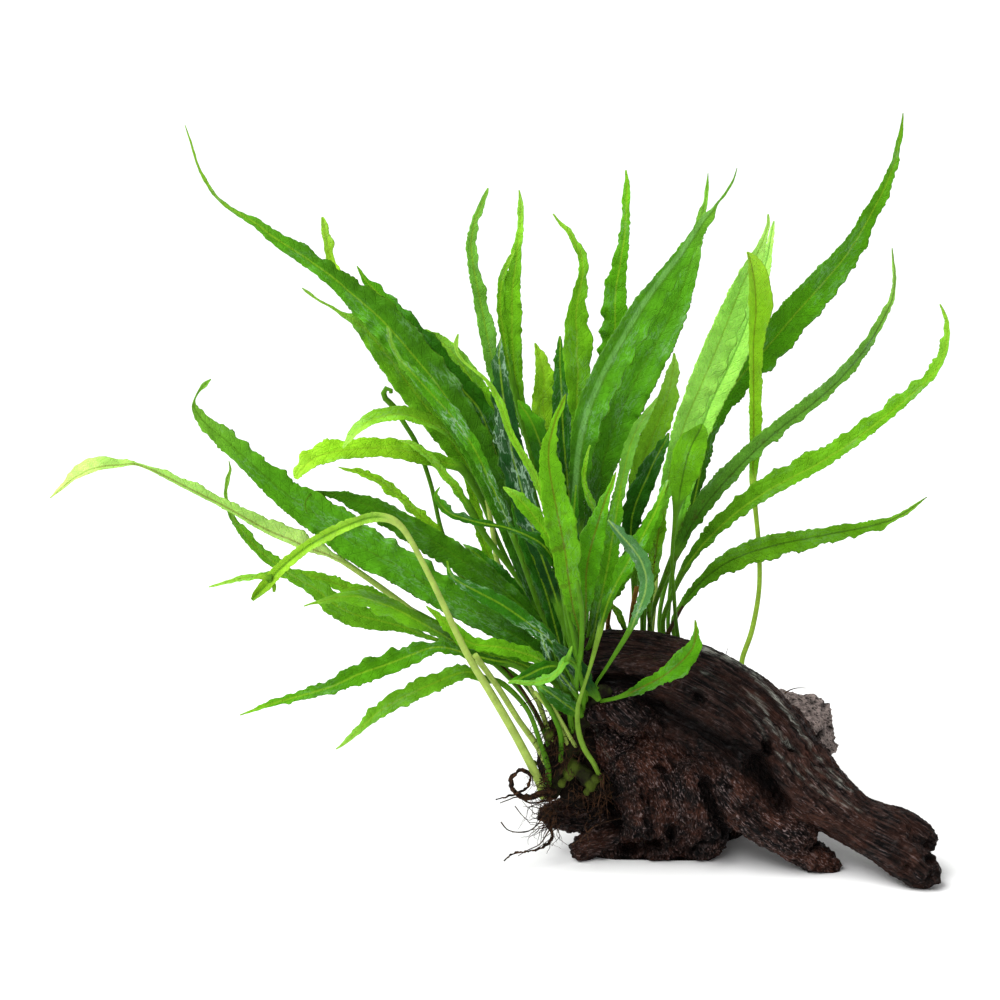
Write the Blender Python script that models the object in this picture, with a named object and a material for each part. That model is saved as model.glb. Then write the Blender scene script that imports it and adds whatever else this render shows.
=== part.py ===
"""Java fern growing on a dark piece of driftwood, modelled at its real size.

Narrow fern leaves fan out from three creeping rhizomes that cling to the upper left end of a
gnarled driftwood log. Each leaf, each rhizome, each bundle of roots and each main fork of the wood
is a closed solid of its own. Metres, +Z up, the front of the plant faces -Y.

Leaf routes are given as points read from one front view of the plant: how far right and how far
down each point is seen, in view pixels, and how far back it lies, in millimetres.
"""

import math
from dataclasses import dataclass

import bmesh
import bpy
from mathutils import Vector

MM = 0.001

# The front view that the routes are read in.
VIEW_PIXEL = 0.35 * MM
VIEW_MIDDLE = (500.0, 500.0)
VIEW_ELEVATION = math.radians(12.0)
VIEW_DISTANCE = 1.0
FOOT_SEEN_AT = (660.0, 862.0)
FOOT_TO_ORIGIN = 12.0 * MM

# Steps between two given points of a route, and the longest side that counts as none.
CURVE_STEPS = 12
SIDE_LEAST = 0.1

# Leaves
LEAF_STATIONS_PER_METRE = 72.0
LEAF_STATIONS_LEAST = 8
LEAF_STATIONS_MOST = 16
STALK_WIDTH = 1.7 * MM
STALK_THICKNESS = 1.5 * MM
BLADE_THICKNESS = 0.9 * MM
TIP_WIDTH = 0.7 * MM
TIP_THICKNESS = 0.4 * MM
BLADE_FALL = 1.35
BLADE_ROOT_EASE = 4.0

# Rhizomes and roots
RHIZOME_RADIUS = 3.0 * MM
RHIZOME_SIDES = 8
RHIZOME_STATIONS = 9
KNOB_SWELL = 0.06
KNOB_TURN = 5.0
ROOT_SIDES = 5
ROOT_STATIONS = 9
ROOT_NARROWING = 0.6

# Driftwood
STRAND_SIDES = 12
STRAND_STATIONS = 24
END_ROUNDING = 0.4
WOOD_VOXEL = 1.7 * MM
WOOD_SMOOTHING = 0.5
WOOD_SMOOTH_REPEATS = 4
WOOD_DETAIL_KEPT = 0.105
FORK_GAP = 0.3 * MM
RHIZOME_GROOVE_GAP = 0.35 * MM
CUTTER_SIZE = 600.0 * MM


@dataclass(frozen=True)
class Rhizome:
    """A creeping stem and the branches that grow from it, each a key of STEMS."""

    name: str
    stems: tuple


@dataclass(frozen=True)
class Leaf:
    """One leaf: the stem it grows from and how far along, its blade, and its route from stalk to tip."""

    name: str
    tone: str
    stem: str
    along: float
    width_mm: float
    blade_from: float
    widest: float
    roll: tuple
    route: tuple


# Stems of the rhizomes: (right px, down px, back mm).
STEMS = {
    "left": ((548, 800, 1), (560, 775, 0), (573, 745, -2), (583, 718, -4), (596, 699, -8), (612, 689, -9)),
    "left_low": ((562, 774, 0), (574, 768, -3), (588, 778, -2), (600, 788, 2)),
    "middle": ((574, 712, 5), (563, 690, 12), (560, 668, 24), (567, 652, 37), (584, 644, 46)),
    "back": ((612, 648, 52), (650, 649, 54), (700, 662, 52), (744, 684, 48)),
}

RHIZOMES = (
    Rhizome("rhizome_left", ("left", "left_low")),
    Rhizome("rhizome_middle", ("middle",)),
    Rhizome("rhizome_back", ("back",)),
)

LEFT_LEAVES = (
    Leaf("leaf_left_01", "pale", "left", 0.02, 4.2, 0.66, 0.80, (0, 50),
         ((538, 779, -5), (517, 738, -14), (492, 695, -26), (466, 652, -37), (432, 581, -50), (408, 533, -57),
          (377, 517, -62), (333, 532, -67), (281, 568, -72), (252, 600, -76))),
    Leaf("leaf_left_02", "mid", "left", 0.09, 6.4, 0.42, 0.68, (0, 25),
         ((548, 768, -5), (535, 729, -8), (515, 693, -13), (484, 677, -20), (451, 675, -26), (398, 699, -34),
          (354, 736, -40), (336, 749, -42))),
    Leaf("leaf_left_03", "pale", "left", 0.16, 6.2, 0.46, 0.84, (0, 35),
         ((540, 752, -2), (518, 719, -4), (497, 686, -8), (475, 658, -13), (440, 633, -18), (398, 600, -22),
          (346, 563, -27), (294, 537, -32), (223, 505, -37), (152, 469, -42), (104, 464, -44), (72, 475, -45),
          (50, 498, -46))),
    Leaf("leaf_left_04", "mid", "left", 0.25, 5.2, 0.42, 0.66, (0, -30),
         ((540, 722, -1), (520, 690, -6), (490, 660, -14), (451, 639, -23), (411, 615, -30), (359, 593, -36),
          (304, 606, -42))),
    Leaf("leaf_left_05", "mid", "left", 0.32, 7.2, 0.36, 0.62, (10, 25),
         ((560, 732, -9), (545, 700, -14), (531, 676, -19), (513, 665, -23), (471, 655, -28), (447, 648, -31),
          (411, 655, -36), (359, 673, -42), (307, 694, -47), (240, 715, -52))),
    Leaf("leaf_left_06", "mid", "left", 0.39, 8.6, 0.40, 0.60, (-10, 30),
         ((548, 728, 3), (537, 700, 1), (510, 672, -3), (450, 645, -9), (406, 627, -12), (354, 614, -15),
          (317, 589, -18), (279, 565, -21), (238, 526, -24), (226, 497, -26), (228, 478, -27), (229, 461, -28))),
    Leaf("leaf_left_07", "bright", "left", 0.46, 3.4, 0.40, 0.60, (0, 20),
         ((548, 700, 6), (518, 668, 3), (470, 640, -1), (440, 625, -3), (393, 602, -6), (346, 587, -8),
          (296, 574, -11), (239, 579, -14), (209, 587, -15))),
    Leaf("leaf_left_08", "dark", "left", 0.64, 13.2, 0.14, 0.50, (8, 28),
         ((565, 680, -9), (529, 639, -14), (464, 607, -19), (398, 566, -23), (333, 524, -27), (271, 482, -31),
          (223, 440, -35), (198, 412, -37), (196, 395, -38), (210, 379, -38))),
    Leaf("leaf_left_09", "mid", "middle", 0.0, 9.4, 0.16, 0.48, (0, -20),
         ((557, 672, 1), (536, 625, -2), (503, 587, -5), (451, 550, -8), (398, 518, -11), (349, 496, -14),
          (317, 492, -16), (305, 497, -17))),
    Leaf("leaf_left_10", "bright", "left", 0.70, 6.2, 0.22, 0.60, (0, 15),
         ((574, 682, -15), (546, 634, -20), (513, 612, -22), (478, 592, -25), (458, 581, -27), (447, 561, -28))),
    Leaf("leaf_left_11", "mid", "left", 0.56, 5.4, 0.24, 0.60, (0, 15),
         ((566, 692, -13), (541, 660, -20), (499, 647, -25), (453, 630, -28), (426, 606, -30))),
    Leaf("leaf_left_12", "bright", "left", 0.755, 4.4, 0.40, 0.65, (0, 40),
         ((583, 688, -21), (577, 666, -28), (567, 658, -32), (553, 675, -36), (532, 683, -39), (509, 681, -41))),
    Leaf("leaf_left_13", "dark", "left", 0.82, 3.6, 0.30, 0.60, (0, 30),
         ((583, 676, -18), (570, 636, -24), (553, 562, -34), (521, 533, -39), (485, 524, -42), (451, 514, -45),
          (436, 500, -46), (440, 487, -47))),
)

HIGH_LEAVES = (
    Leaf("leaf_high_01", "dark", "middle", 0.14, 12.2, 0.20, 0.50, (6, 24),
         ((560, 655, 5), (540, 612, 4), (519, 560, 3), (500, 490, 2), (470, 430, 1), (419, 365, 0), (350, 296, -1),
          (275, 238, -2), (225, 205, -3), (203, 175, -3), (190, 140, -3), (185, 125, -3))),
    Leaf("leaf_high_02", "dark", "middle", 0.20, 8.6, 0.22, 0.56, (-6, 18),
         ((562, 648, 11), (545, 600, 11), (525, 540, 11), (500, 470, 11), (479, 413, 12), (439, 367, 13),
          (392, 316, 14), (365, 280, 15), (357, 266, 15))),
    Leaf("leaf_high_03", "bright", "middle", 0.32, 9.6, 0.26, 0.62, (0, -18),
         ((566, 640, 18), (552, 590, 18), (530, 520, 18), (500, 440, 19), (479, 396, 20), (447, 350, 21),
          (417, 328, 22), (396, 316, 22))),
    Leaf("leaf_high_04", "bright", "middle", 0.38, 8.8, 0.28, 0.54, (0, 20),
         ((565, 636, 25), (548, 590, 25), (514, 530, 24), (475, 480, 23), (450, 440, 22), (407, 383, 21),
          (364, 329, 20), (333, 308, 19), (302, 288, 18))),
    Leaf("leaf_high_05", "bright", "middle", 0.50, 6.6, 0.38, 0.62, (0, 30),
         ((556, 640, 33), (515, 595, 32), (487, 553, 31), (474, 498, 30), (464, 448, 30), (430, 395, 30),
          (380, 330, 31), (345, 290, 32), (330, 257, 33), (326, 235, 33), (322, 217, 33))),
    Leaf("leaf_high_06", "bright", "middle", 0.08, 5.0, 0.40, 0.66, (0, 20),
         ((560, 650, 1), (541, 612, 0), (515, 540, -4), (480, 460, -8), (449, 413, -10), (401, 364, -12),
          (390, 335, -13), (387, 326, -13))),
    Leaf("leaf_high_07", "bright", "middle", 0.26, 4.0, 0.34, 0.62, (0, 40),
         ((554, 650, 14), (546, 625, 15), (518, 570, 15), (498, 520, 14), (475, 470, 12), (455, 440, 10),
          (431, 421, 6), (401, 413, 0), (369, 420, -5), (343, 448, -8))),
    Leaf("leaf_high_08", "bright", "middle", 0.44, 6.4, 0.34, 0.70, (0, 30),
         ((552, 644, 21), (528, 600, 21), (500, 545, 20), (480, 497, 18), (463, 470, 16), (423, 455, 12),
          (376, 448, 7), (320, 453, 2), (296, 479, -2))),
    Leaf("leaf_high_09", "pale", "middle", 0.58, 1.9, 0.30, 0.60, (0, 0),
         ((546, 642, 38), (500, 612, 34), (460, 575, 30), (442, 532, 26), (431, 485, 22), (417, 445, 19),
          (395, 409, 17), (385, 399, 16), (384, 390, 15), (391, 389, 15))),
)

CENTRE_LEAVES = (
    Leaf("leaf_centre_01", "bright", "left", 0.885, 10.6, 0.24, 0.52, (0, 15),
         ((594, 680, -17), (588, 655, -21), (580, 630, -30), (573, 605, -38), (567, 561, -44), (557, 512, -47),
          (549, 460, -49), (552, 430, -50), (566, 395, -51))),
    Leaf("leaf_centre_02", "bright", "left", 0.93, 9.0, 0.30, 0.56, (0, -15),
         ((597, 672, -11), (589, 625, -19), (588, 564, -29), (595, 530, -33), (607, 499, -35), (616, 473, -36))),
    Leaf("leaf_centre_03", "wet", "left", 0.99, 5.2, 0.36, 0.62, (0, 30),
         ((612, 676, -17), (622, 650, -30), (636, 622, -42), (644, 595, -50), (643, 570, -55), (629, 546, -59),
          (608, 521, -61))),
    Leaf("leaf_centre_04", "bright", "left_low", 0.86, 5.0, 0.44, 0.66, (0, -20),
         ((590, 762, -8), (581, 746, -13), (578, 730, -17), (578, 708, -21), (584, 684, -26), (592, 655, -28),
          (602, 625, -28), (622, 576, -29), (645, 533, -31), (657, 510, -32), (668, 480, -33))),
    Leaf("leaf_centre_05", "mid", "left", 1.0, 7.4, 0.20, 0.58, (0, 25),
         ((618, 700, -15), (630, 695, -19), (655, 685, -23), (681, 664, -25), (694, 642, -25), (696, 621, -24))),
    Leaf("leaf_centre_06", "bright", "left", 0.79, 2.4, 0.40, 0.66, (0, 20),
         ((582, 668, -12), (565, 600, -16), (539, 487, -18), (516, 444, -20), (502, 409, -21), (486, 380, -22),
          (463, 361, -22), (456, 345, -23), (458, 334, -23))),
    Leaf("leaf_centre_07", "wet", "middle", 0.05, 9.2, 0.30, 0.62, (0, -20),
         ((577, 668, -4), (558, 605, -6), (537, 548, -8), (524, 500, -9), (512, 461, -10), (505, 410, -12),
          (499, 369, -13), (501, 338, -14))),
    Leaf("leaf_centre_08", "dark", "middle", 0.11, 7.2, 0.40, 0.72, (0, 15),
         ((572, 655, 3), (565, 600, 3), (557, 540, 3), (548, 480, 2), (540, 445, 1), (528, 415, 0), (519, 402, 0))),
    Leaf("leaf_centre_09", "bright", "middle", 0.78, 6.2, 0.34, 0.60, (0, 25),
         ((572, 632, 38), (560, 585, 36), (535, 500, 33), (510, 420, 31), (491, 358, 29), (480, 305, 28),
          (473, 272, 27), (471, 242, 27), (477, 213, 27), (488, 188, 27))),
    Leaf("leaf_centre_10", "mid", "middle", 0.86, 8.0, 0.34, 0.62, (0, -22),
         ((577, 628, 44), (569, 585, 43), (550, 500, 41), (526, 430, 40), (514, 385, 39), (511, 330, 39),
          (513, 278, 39), (518, 245, 40), (521, 210, 41), (518, 190, 41))),
    Leaf("leaf_centre_11", "bright", "middle", 0.70, 9.2, 0.40, 0.72, (0, 18),
         ((576, 630, 31), (570, 580, 29), (562, 500, 27), (550, 440, 25), (543, 409, 24), (543, 377, 23),
          (536, 344, 23))),
    Leaf("leaf_centre_12", "dark", "middle", 0.35, 6.6, 0.34, 0.66, (0, -15),
         ((575, 640, 20), (576, 580, 20), (571, 520, 20), (568, 487, 20), (564, 441, 19), (562, 400, 19),
          (560, 365, 19), (560, 337, 19))),
    Leaf("leaf_centre_13", "dark", "middle", 0.17, 10.6, 0.28, 0.54, (0, 22),
         ((577, 650, 7), (577, 590, 6), (577, 520, 6), (579, 470, 6), (583, 432, 6), (594, 402, 7), (621, 349, 9),
          (659, 285, 12), (694, 237, 15), (717, 205, 17), (737, 168, 19))),
    Leaf("leaf_centre_14", "dark", "middle", 0.55, 14.0, 0.26, 0.54, (0, -20),
         ((584, 635, 27), (586, 580, 26), (592, 505, 24), (605, 455, 23), (632, 387, 23), (666, 323, 25),
          (691, 266, 27), (702, 212, 29), (708, 174, 30))),
    Leaf("leaf_centre_15", "bright", "middle", 0.29, 10.0, 0.44, 0.66, (0, 20),
         ((582, 640, 13), (581, 560, 13), (578, 480, 13), (577, 405, 13), (577, 353, 13), (576, 317, 13),
          (582, 275, 14), (580, 250, 15), (569, 232, 15), (553, 214, 16))),
    Leaf("leaf_centre_16", "bright", "back", 0.02, 8.6, 0.36, 0.60, (0, -18),
         ((608, 624, 50), (600, 590, 46), (596, 540, 42), (596, 480, 39), (601, 410, 37), (612, 350, 36),
          (615, 298, 36), (622, 253, 37), (626, 210, 38), (626, 170, 39))),
)

RIGHT_LEAVES = (
    Leaf("leaf_right_01", "mid", "back", 0.21, 8.0, 0.40, 0.68, (0, 20),
         ((642, 624, 50), (641, 590, 49), (634, 550, 48), (632, 510, 47), (641, 464, 47), (661, 415, 47),
          (672, 374, 47), (674, 353, 47))),
    Leaf("leaf_right_02", "pale", "middle", 0.42, 3.6, 0.30, 0.62, (0, 20),
         ((587, 640, 19), (595, 580, 17), (607, 533, 16), (619, 493, 15), (630, 449, 15), (645, 417, 15),
          (657, 399, 15))),
    Leaf("leaf_right_03", "dark", "back", 0.12, 6.4, 0.36, 0.64, (0, -20),
         ((630, 626, 48), (634, 600, 45), (636, 575, 43), (632, 540, 40), (638, 496, 38), (653, 460, 37),
          (669, 434, 37))),
    Leaf("leaf_right_04", "mid", "middle", 0.92, 7.2, 0.24, 0.56, (0, 20),
         ((594, 626, 36), (606, 600, 31), (622, 572, 29), (640, 540, 28), (655, 512, 28), (667, 486, 28))),
    Leaf("leaf_right_05", "bright", "back", 0.49, 11.2, 0.42, 0.74, (0, 12),
         ((676, 622, 46), (674, 594, 38), (672, 548, 30), (676, 515, 25), (684, 478, 20), (690, 444, 17),
          (701, 427, 16))),
    Leaf("leaf_right_06", "pale", "back", 0.305, 9.0, 0.26, 0.60, (0, 22),
         ((651, 624, 62), (653, 570, 67), (659, 515, 71), (668, 470, 74), (684, 425, 77), (717, 350, 81),
          (735, 303, 83), (750, 270, 85), (762, 246, 86), (768, 214, 87))),
    Leaf("leaf_right_07", "pale", "back", 0.425, 8.2, 0.30, 0.62, (0, -22),
         ((668, 624, 63), (672, 575, 71), (680, 525, 79), (692, 470, 85), (703, 421, 89), (730, 366, 92),
          (750, 320, 94), (766, 258, 96), (774, 221, 97))),
    Leaf("leaf_right_08", "pale", "back", 0.97, 8.6, 0.42, 0.78, (30, 40),
         ((742, 660, 52), (752, 630, 59), (760, 575, 68), (755, 514, 72), (754, 456, 74), (754, 375, 75),
          (756, 313, 75), (755, 285, 74), (748, 253, 73))),
    Leaf("leaf_right_09", "dark", "back", 0.365, 12.4, 0.30, 0.60, (0, 20),
         ((659, 624, 65), (664, 590, 75), (676, 553, 83), (692, 513, 90), (700, 480, 94), (705, 444, 97),
          (723, 400, 100), (765, 349, 103), (812, 294, 105), (860, 234, 107), (894, 167, 109), (903, 116, 110))),
    Leaf("leaf_right_10", "dark", "back", 0.275, 6.2, 0.16, 0.48, (0, 24),
         ((650, 622, 49), (657, 598, 49), (670, 564, 46), (691, 522, 43), (730, 473, 40), (781, 425, 36),
          (832, 384, 32), (873, 336, 29), (891, 298, 27), (894, 275, 26), (892, 248, 26))),
    Leaf("leaf_right_11", "mid", "back", 0.375, 7.4, 0.20, 0.48, (0, -22),
         ((663, 620, 54), (672, 595, 54), (686, 567, 54), (723, 521, 53), (774, 483, 52), (825, 457, 51),
          (876, 422, 50), (921, 384, 49), (945, 345, 48), (947, 323, 48), (940, 304, 48))),
    Leaf("leaf_right_12", "mid", "back", 0.46, 8.0, 0.18, 0.50, (0, 26),
         ((673, 622, 58), (684, 600, 62), (704, 576, 64), (730, 562, 64), (774, 546, 64), (831, 533, 63),
          (885, 522, 63), (927, 497, 62))),
)

LEAVES = LEFT_LEAVES + HIGH_LEAVES + CENTRE_LEAVES + RIGHT_LEAVES

# Strands of the driftwood, following its grain: (right px, down px, back mm, radius mm).
WOOD_STRANDS = (
    ((584, 664, 20, 10), (640, 666, 22, 12.5), (700, 690, 18, 15), (755, 730, 10, 15), (800, 775, 0, 12.5),
     (850, 817, -10, 9), (900, 841, -19, 10), (936, 858, -24, 8)),
    ((586, 659, 32, 10), (650, 662, 36, 10.5), (715, 684, 34, 11), (765, 716, 26, 10), (810, 766, 14, 8),
     (832, 795, 7, 5.5), (855, 809, 1, 5), (900, 829, -11, 7), (933, 848, -18, 6)),
    ((588, 684, 8, 7), (660, 690, 4, 10), (710, 714, 0, 11), (750, 748, -6, 9.5), (800, 792, -12, 8),
     (850, 821, -17, 6.2), (895, 853, -23, 7), (930, 872, -26, 7.5), (944, 881, -26, 5)),
    ((640, 720, 8, 15), (650, 770, 6, 16), (655, 815, 8, 14), (655, 858, 13, 11)),
    ((690, 740, 4, 14), (700, 790, 2, 15), (700, 826, 6, 11), (694, 856, 14, 7.5)),
    ((612, 720, 14, 10), (628, 770, 16, 11), (634, 815, 12, 12), (620, 846, 10, 9), (597, 858, 8, 6)),
    ((715, 760, -2, 12), (745, 800, -6, 11), (780, 829, -9, 8), (815, 853, -10, 4.8), (836, 868, -10, 3)),
    ((680, 740, 20, 14), (685, 800, 20, 14), (685, 852, 22, 11)),
    ((655, 720, 36, 14), (662, 790, 38, 14), (668, 840, 40, 11)),
    ((720, 720, 28, 12), (722, 780, 30, 12), (720, 842, 32, 10)),
    ((640, 795, 18, 9), (595, 812, 14, 7.5), (560, 815, 11, 5.2), (540, 812, 9, 3)),
    ((612, 822, 10, 7), (588, 846, 8, 6.5), (572, 852, 8, 4.5)),
    ((765, 712, 34, 9), (792, 715, 43, 8.5), (806, 726, 49, 8.5), (823, 749, 52, 5.8)),
)

# Fork planes: name of the piece beyond, a place on the plane (right px, down px, back mm), and its direction.
WOOD_FORKS = (
    ("driftwood_back_knot", (790, 740, 37), (0.62, 0.78, 0.0)),
    ("driftwood_left_spur", (600, 815, 14), (-0.92, 0.0, -0.38)),
    ("driftwood_long_limb", (775, 762, 8), (0.84, -0.16, -0.30)),
)
PRONG_NAME = "driftwood_short_prong"
PRONG_PLANE = ((799, 823, -12), (-0.55, -0.23, -0.84))
BODY_NAME = "driftwood_body"

ROOTS = (
    ("roots_upper", 0.9, ((556, 790, -4), (541, 793, -7), (527, 797, -9), (514, 791, -10), (512, 778, -10),
                          (522, 770, -10), (530, 778, -9), (526, 789, -12), (512, 795, -13), (496, 800, -14))),
    ("roots_lower", 0.8, ((552, 808, -1), (549, 822, -4), (552, 838, -5), (541, 848, -7), (526, 852, -8),
                          (514, 853, -9), (504, 861, -9))),
)

LEAF_COLOURS = {
    "pale": (0.42, 0.62, 0.16, 1.0),
    "bright": (0.21, 0.47, 0.04, 1.0),
    "mid": (0.10, 0.30, 0.015, 1.0),
    "dark": (0.035, 0.14, 0.012, 1.0),
    "wet": (0.03, 0.12, 0.06, 1.0),
}
RHIZOME_COLOUR = (0.12, 0.20, 0.04, 1.0)
ROOT_COLOUR = (0.07, 0.035, 0.016, 1.0)
WOOD_COLOUR = (0.025, 0.015, 0.012, 1.0)


def clear_scene():
    """Remove every object, so that the file holds only the plant."""
    for existing in list(bpy.data.objects):
        bpy.data.objects.remove(existing, do_unlink=True)


def principled(name, colour, roughness, metallic=0.0):
    """A plain surface of one colour."""
    material = bpy.data.materials.new(name)
    material.use_nodes = True
    shader = material.node_tree.nodes["Principled BSDF"]
    shader.inputs["Base Color"].default_value = colour
    shader.inputs["Roughness"].default_value = roughness
    shader.inputs["Metallic"].default_value = metallic
    material.diffuse_color = colour
    return material


def make_materials():
    """One material for each leaf tone, and one each for rhizome, root and wood."""
    made = {tone: principled("leaf_" + tone, colour, 0.42) for tone, colour in LEAF_COLOURS.items()}
    made["rhizome"] = principled("rhizome", RHIZOME_COLOUR, 0.55)
    made["root"] = principled("root", ROOT_COLOUR, 0.8)
    made["wood"] = principled("wood", WOOD_COLOUR, 0.6)
    return made


def view_axes():
    """Directions of the front view: right, up in the picture, and away from the viewer."""
    sine, cosine = math.sin(VIEW_ELEVATION), math.cos(VIEW_ELEVATION)
    return Vector((1.0, 0.0, 0.0)), Vector((0.0, sine, cosine)), Vector((0.0, cosine, -sine))


def viewpoint():
    """Where the front view is seen from: the foot of the wood shows at FOOT_SEEN_AT."""
    right, up, away = view_axes()
    foot = Vector((0.0, -FOOT_TO_ORIGIN, 0.0))
    across = (FOOT_SEEN_AT[0] - VIEW_MIDDLE[0]) * VIEW_PIXEL
    down = (FOOT_SEEN_AT[1] - VIEW_MIDDLE[1]) * VIEW_PIXEL
    middle = foot - right * across + up * down
    return middle - away * VIEW_DISTANCE


def from_view(right_px, down_px, back_mm):
    """World point seen at a place in the front view, so many millimetres behind the wood's front foot."""
    right, up, away = view_axes()
    eye = viewpoint()
    ray = right * ((right_px - VIEW_MIDDLE[0]) * VIEW_PIXEL)
    ray += up * ((VIEW_MIDDLE[1] - down_px) * VIEW_PIXEL) + away * VIEW_DISTANCE
    reach = (back_mm * MM - FOOT_TO_ORIGIN - eye.y) / ray.y
    return eye + ray * reach


def smooth_step(value):
    """Ease from 0 to 1."""
    held = min(max(value, 0.0), 1.0)
    return held * held * (3.0 - 2.0 * held)


def curve_through(points, count):
    """Evenly spaced points on a smooth curve through the given ones."""
    fine = []
    last = len(points) - 1
    for index in range(last):
        before = points[max(index - 1, 0)]
        start, end = points[index], points[index + 1]
        after = points[min(index + 2, last)]
        for step in range(CURVE_STEPS):
            t = step / CURVE_STEPS
            fine.append(0.5 * (2.0 * start + (end - before) * t
                               + (2.0 * before - 5.0 * start + 4.0 * end - after) * t ** 2
                               + (3.0 * start - before - 3.0 * end + after) * t ** 3))
    fine.append(points[-1])
    lengths = [0.0]
    for first, second in zip(fine, fine[1:]):
        lengths.append(lengths[-1] + (second - first).length)
    even = []
    index = 0
    for number in range(count):
        wanted = lengths[-1] * number / (count - 1)
        while index < len(fine) - 2 and lengths[index + 1] < wanted:
            index += 1
        span = max(lengths[index + 1] - lengths[index], 1e-9)
        even.append(fine[index].lerp(fine[index + 1], (wanted - lengths[index]) / span))
    return even, lengths[-1]


def directions(points):
    """Unit tangent at each point of a line."""
    last = len(points) - 1
    return [(points[min(i + 1, last)] - points[max(i - 1, 0)]).normalized() for i in range(last + 1)]


def solid_from_rings(name, rings, material):
    """Closed solid skinned over rings of points, with a flat cap at each end."""
    mesh = bpy.data.meshes.new(name)
    shape = bmesh.new()
    made = [[shape.verts.new(point) for point in ring] for ring in rings]
    for lower, upper in zip(made, made[1:]):
        for i in range(len(lower)):
            j = (i + 1) % len(lower)
            shape.faces.new((lower[i], lower[j], upper[j], upper[i]))
    shape.faces.new(list(reversed(made[0])))
    shape.faces.new(made[-1])
    bmesh.ops.recalc_face_normals(shape, faces=shape.faces)
    shape.to_mesh(mesh)
    shape.free()
    piece = bpy.data.objects.new(name, mesh)
    bpy.context.collection.objects.link(piece)
    mesh.materials.append(material)
    return piece


def round_ring(centre, tangent, radius, sides):
    """Ring of points around a line."""
    side = tangent.cross(Vector((0.0, 1.0, 0.0)))
    if side.length < SIDE_LEAST:
        side = tangent.cross(Vector((0.0, 0.0, 1.0)))
    side.normalize()
    lift = side.cross(tangent)
    turns = [2.0 * math.pi * i / sides for i in range(sides)]
    return [centre + side * radius * math.cos(a) + lift * radius * math.sin(a) for a in turns]


def rounded_radius(share, length, radius):
    """Radius near the ends of a rounded strand, which close like a dome."""
    inwards = min(min(share, 1.0 - share) * length / radius, 1.0)
    return radius * math.sqrt(max(1.0 - (1.0 - inwards) ** 2, END_ROUNDING ** 2))


def stem_line(stem):
    """Centre line of a stem, and its length."""
    return curve_through([from_view(*place) for place in STEMS[stem]], RHIZOME_STATIONS)


def stem_surface(stem, along, towards):
    """Point just clear of a stem's surface on the side that faces another point."""
    line, _ = stem_line(stem)
    position = along * (len(line) - 1)
    index = min(int(position), len(line) - 2)
    centre = line[index].lerp(line[index + 1], position - index)
    tangent = (line[index + 1] - line[index]).normalized()
    outward = towards - centre
    outward -= tangent * outward.dot(tangent)
    reach = RHIZOME_RADIUS + 0.5 * STALK_THICKNESS
    return centre + outward.normalized() * reach


def make_stem(name, stem, material):
    """Knobbly creeping stem."""
    line, length = stem_line(stem)
    rings = []
    for i, (centre, tangent) in enumerate(zip(line, directions(line))):
        share = i / (len(line) - 1)
        knob = 1.0 - KNOB_SWELL + KNOB_SWELL * math.cos(KNOB_TURN * i)
        radius = rounded_radius(share, length, RHIZOME_RADIUS) * knob
        rings.append(round_ring(centre, tangent, radius, RHIZOME_SIDES))
    return solid_from_rings(name, rings, material)


def make_rhizome(rhizome, material):
    """A rhizome's main stem with its branches fused on."""
    main_stem, *branches = rhizome.stems
    piece = make_stem(rhizome.name, main_stem, material)
    for branch in branches:
        cut(piece, make_stem("branch", branch, material), "UNION")
    return piece


def blade_width(leaf, share):
    """Width of a leaf at a share of its length: a slim stalk, a lance-shaped blade and a thread-like tip."""
    if share < leaf.blade_from:
        return STALK_WIDTH
    if share < leaf.widest:
        rise = smooth_step((share - leaf.blade_from) / (leaf.widest - leaf.blade_from))
        return STALK_WIDTH + (leaf.width_mm * MM - STALK_WIDTH) * rise
    fall = (share - leaf.widest) / (1.0 - leaf.widest)
    return TIP_WIDTH + (leaf.width_mm * MM - TIP_WIDTH) * (1.0 - fall ** BLADE_FALL)


def blade_thickness(leaf, share):
    """Thickness of a leaf at its midrib."""
    if share < leaf.blade_from:
        return STALK_THICKNESS
    fall = (share - leaf.blade_from) / (1.0 - leaf.blade_from)
    eased = STALK_THICKNESS + (BLADE_THICKNESS - STALK_THICKNESS) * smooth_step(BLADE_ROOT_EASE * fall)
    return eased + (TIP_THICKNESS - eased) * fall ** 2


def leaf_line(leaf):
    """Midrib of a leaf from its rhizome to its tip."""
    seen = [from_view(*place) for place in leaf.route]
    start = stem_surface(leaf.stem, leaf.along, seen[0])
    points = [start] + seen
    length = sum((b - a).length for a, b in zip(points, points[1:]))
    wanted = round(length * LEAF_STATIONS_PER_METRE)
    return curve_through(points, min(max(wanted, LEAF_STATIONS_LEAST), LEAF_STATIONS_MOST))


def make_leaf(leaf, material):
    """Thin lance-shaped leaf, four-sided in section, broadside to the front and rolled about its midrib."""
    line, _ = leaf_line(leaf)
    tangents = directions(line)
    away = view_axes()[2]
    rings = []
    for i, (centre, tangent) in enumerate(zip(line, tangents)):
        share = i / (len(line) - 1)
        facing = (-away + tangent * away.dot(tangent)).normalized()
        side = facing.cross(tangent)
        roll = math.radians(leaf.roll[0] + (leaf.roll[1] - leaf.roll[0]) * share)
        across = side * math.cos(roll) + facing * math.sin(roll)
        through = tangent.cross(across)
        half_width = 0.5 * blade_width(leaf, share)
        half_thickness = 0.5 * blade_thickness(leaf, share)
        rings.append([centre + across * half_width, centre + through * half_thickness,
                      centre - across * half_width, centre - through * half_thickness])
    return solid_from_rings(leaf.name, rings, material)


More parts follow.
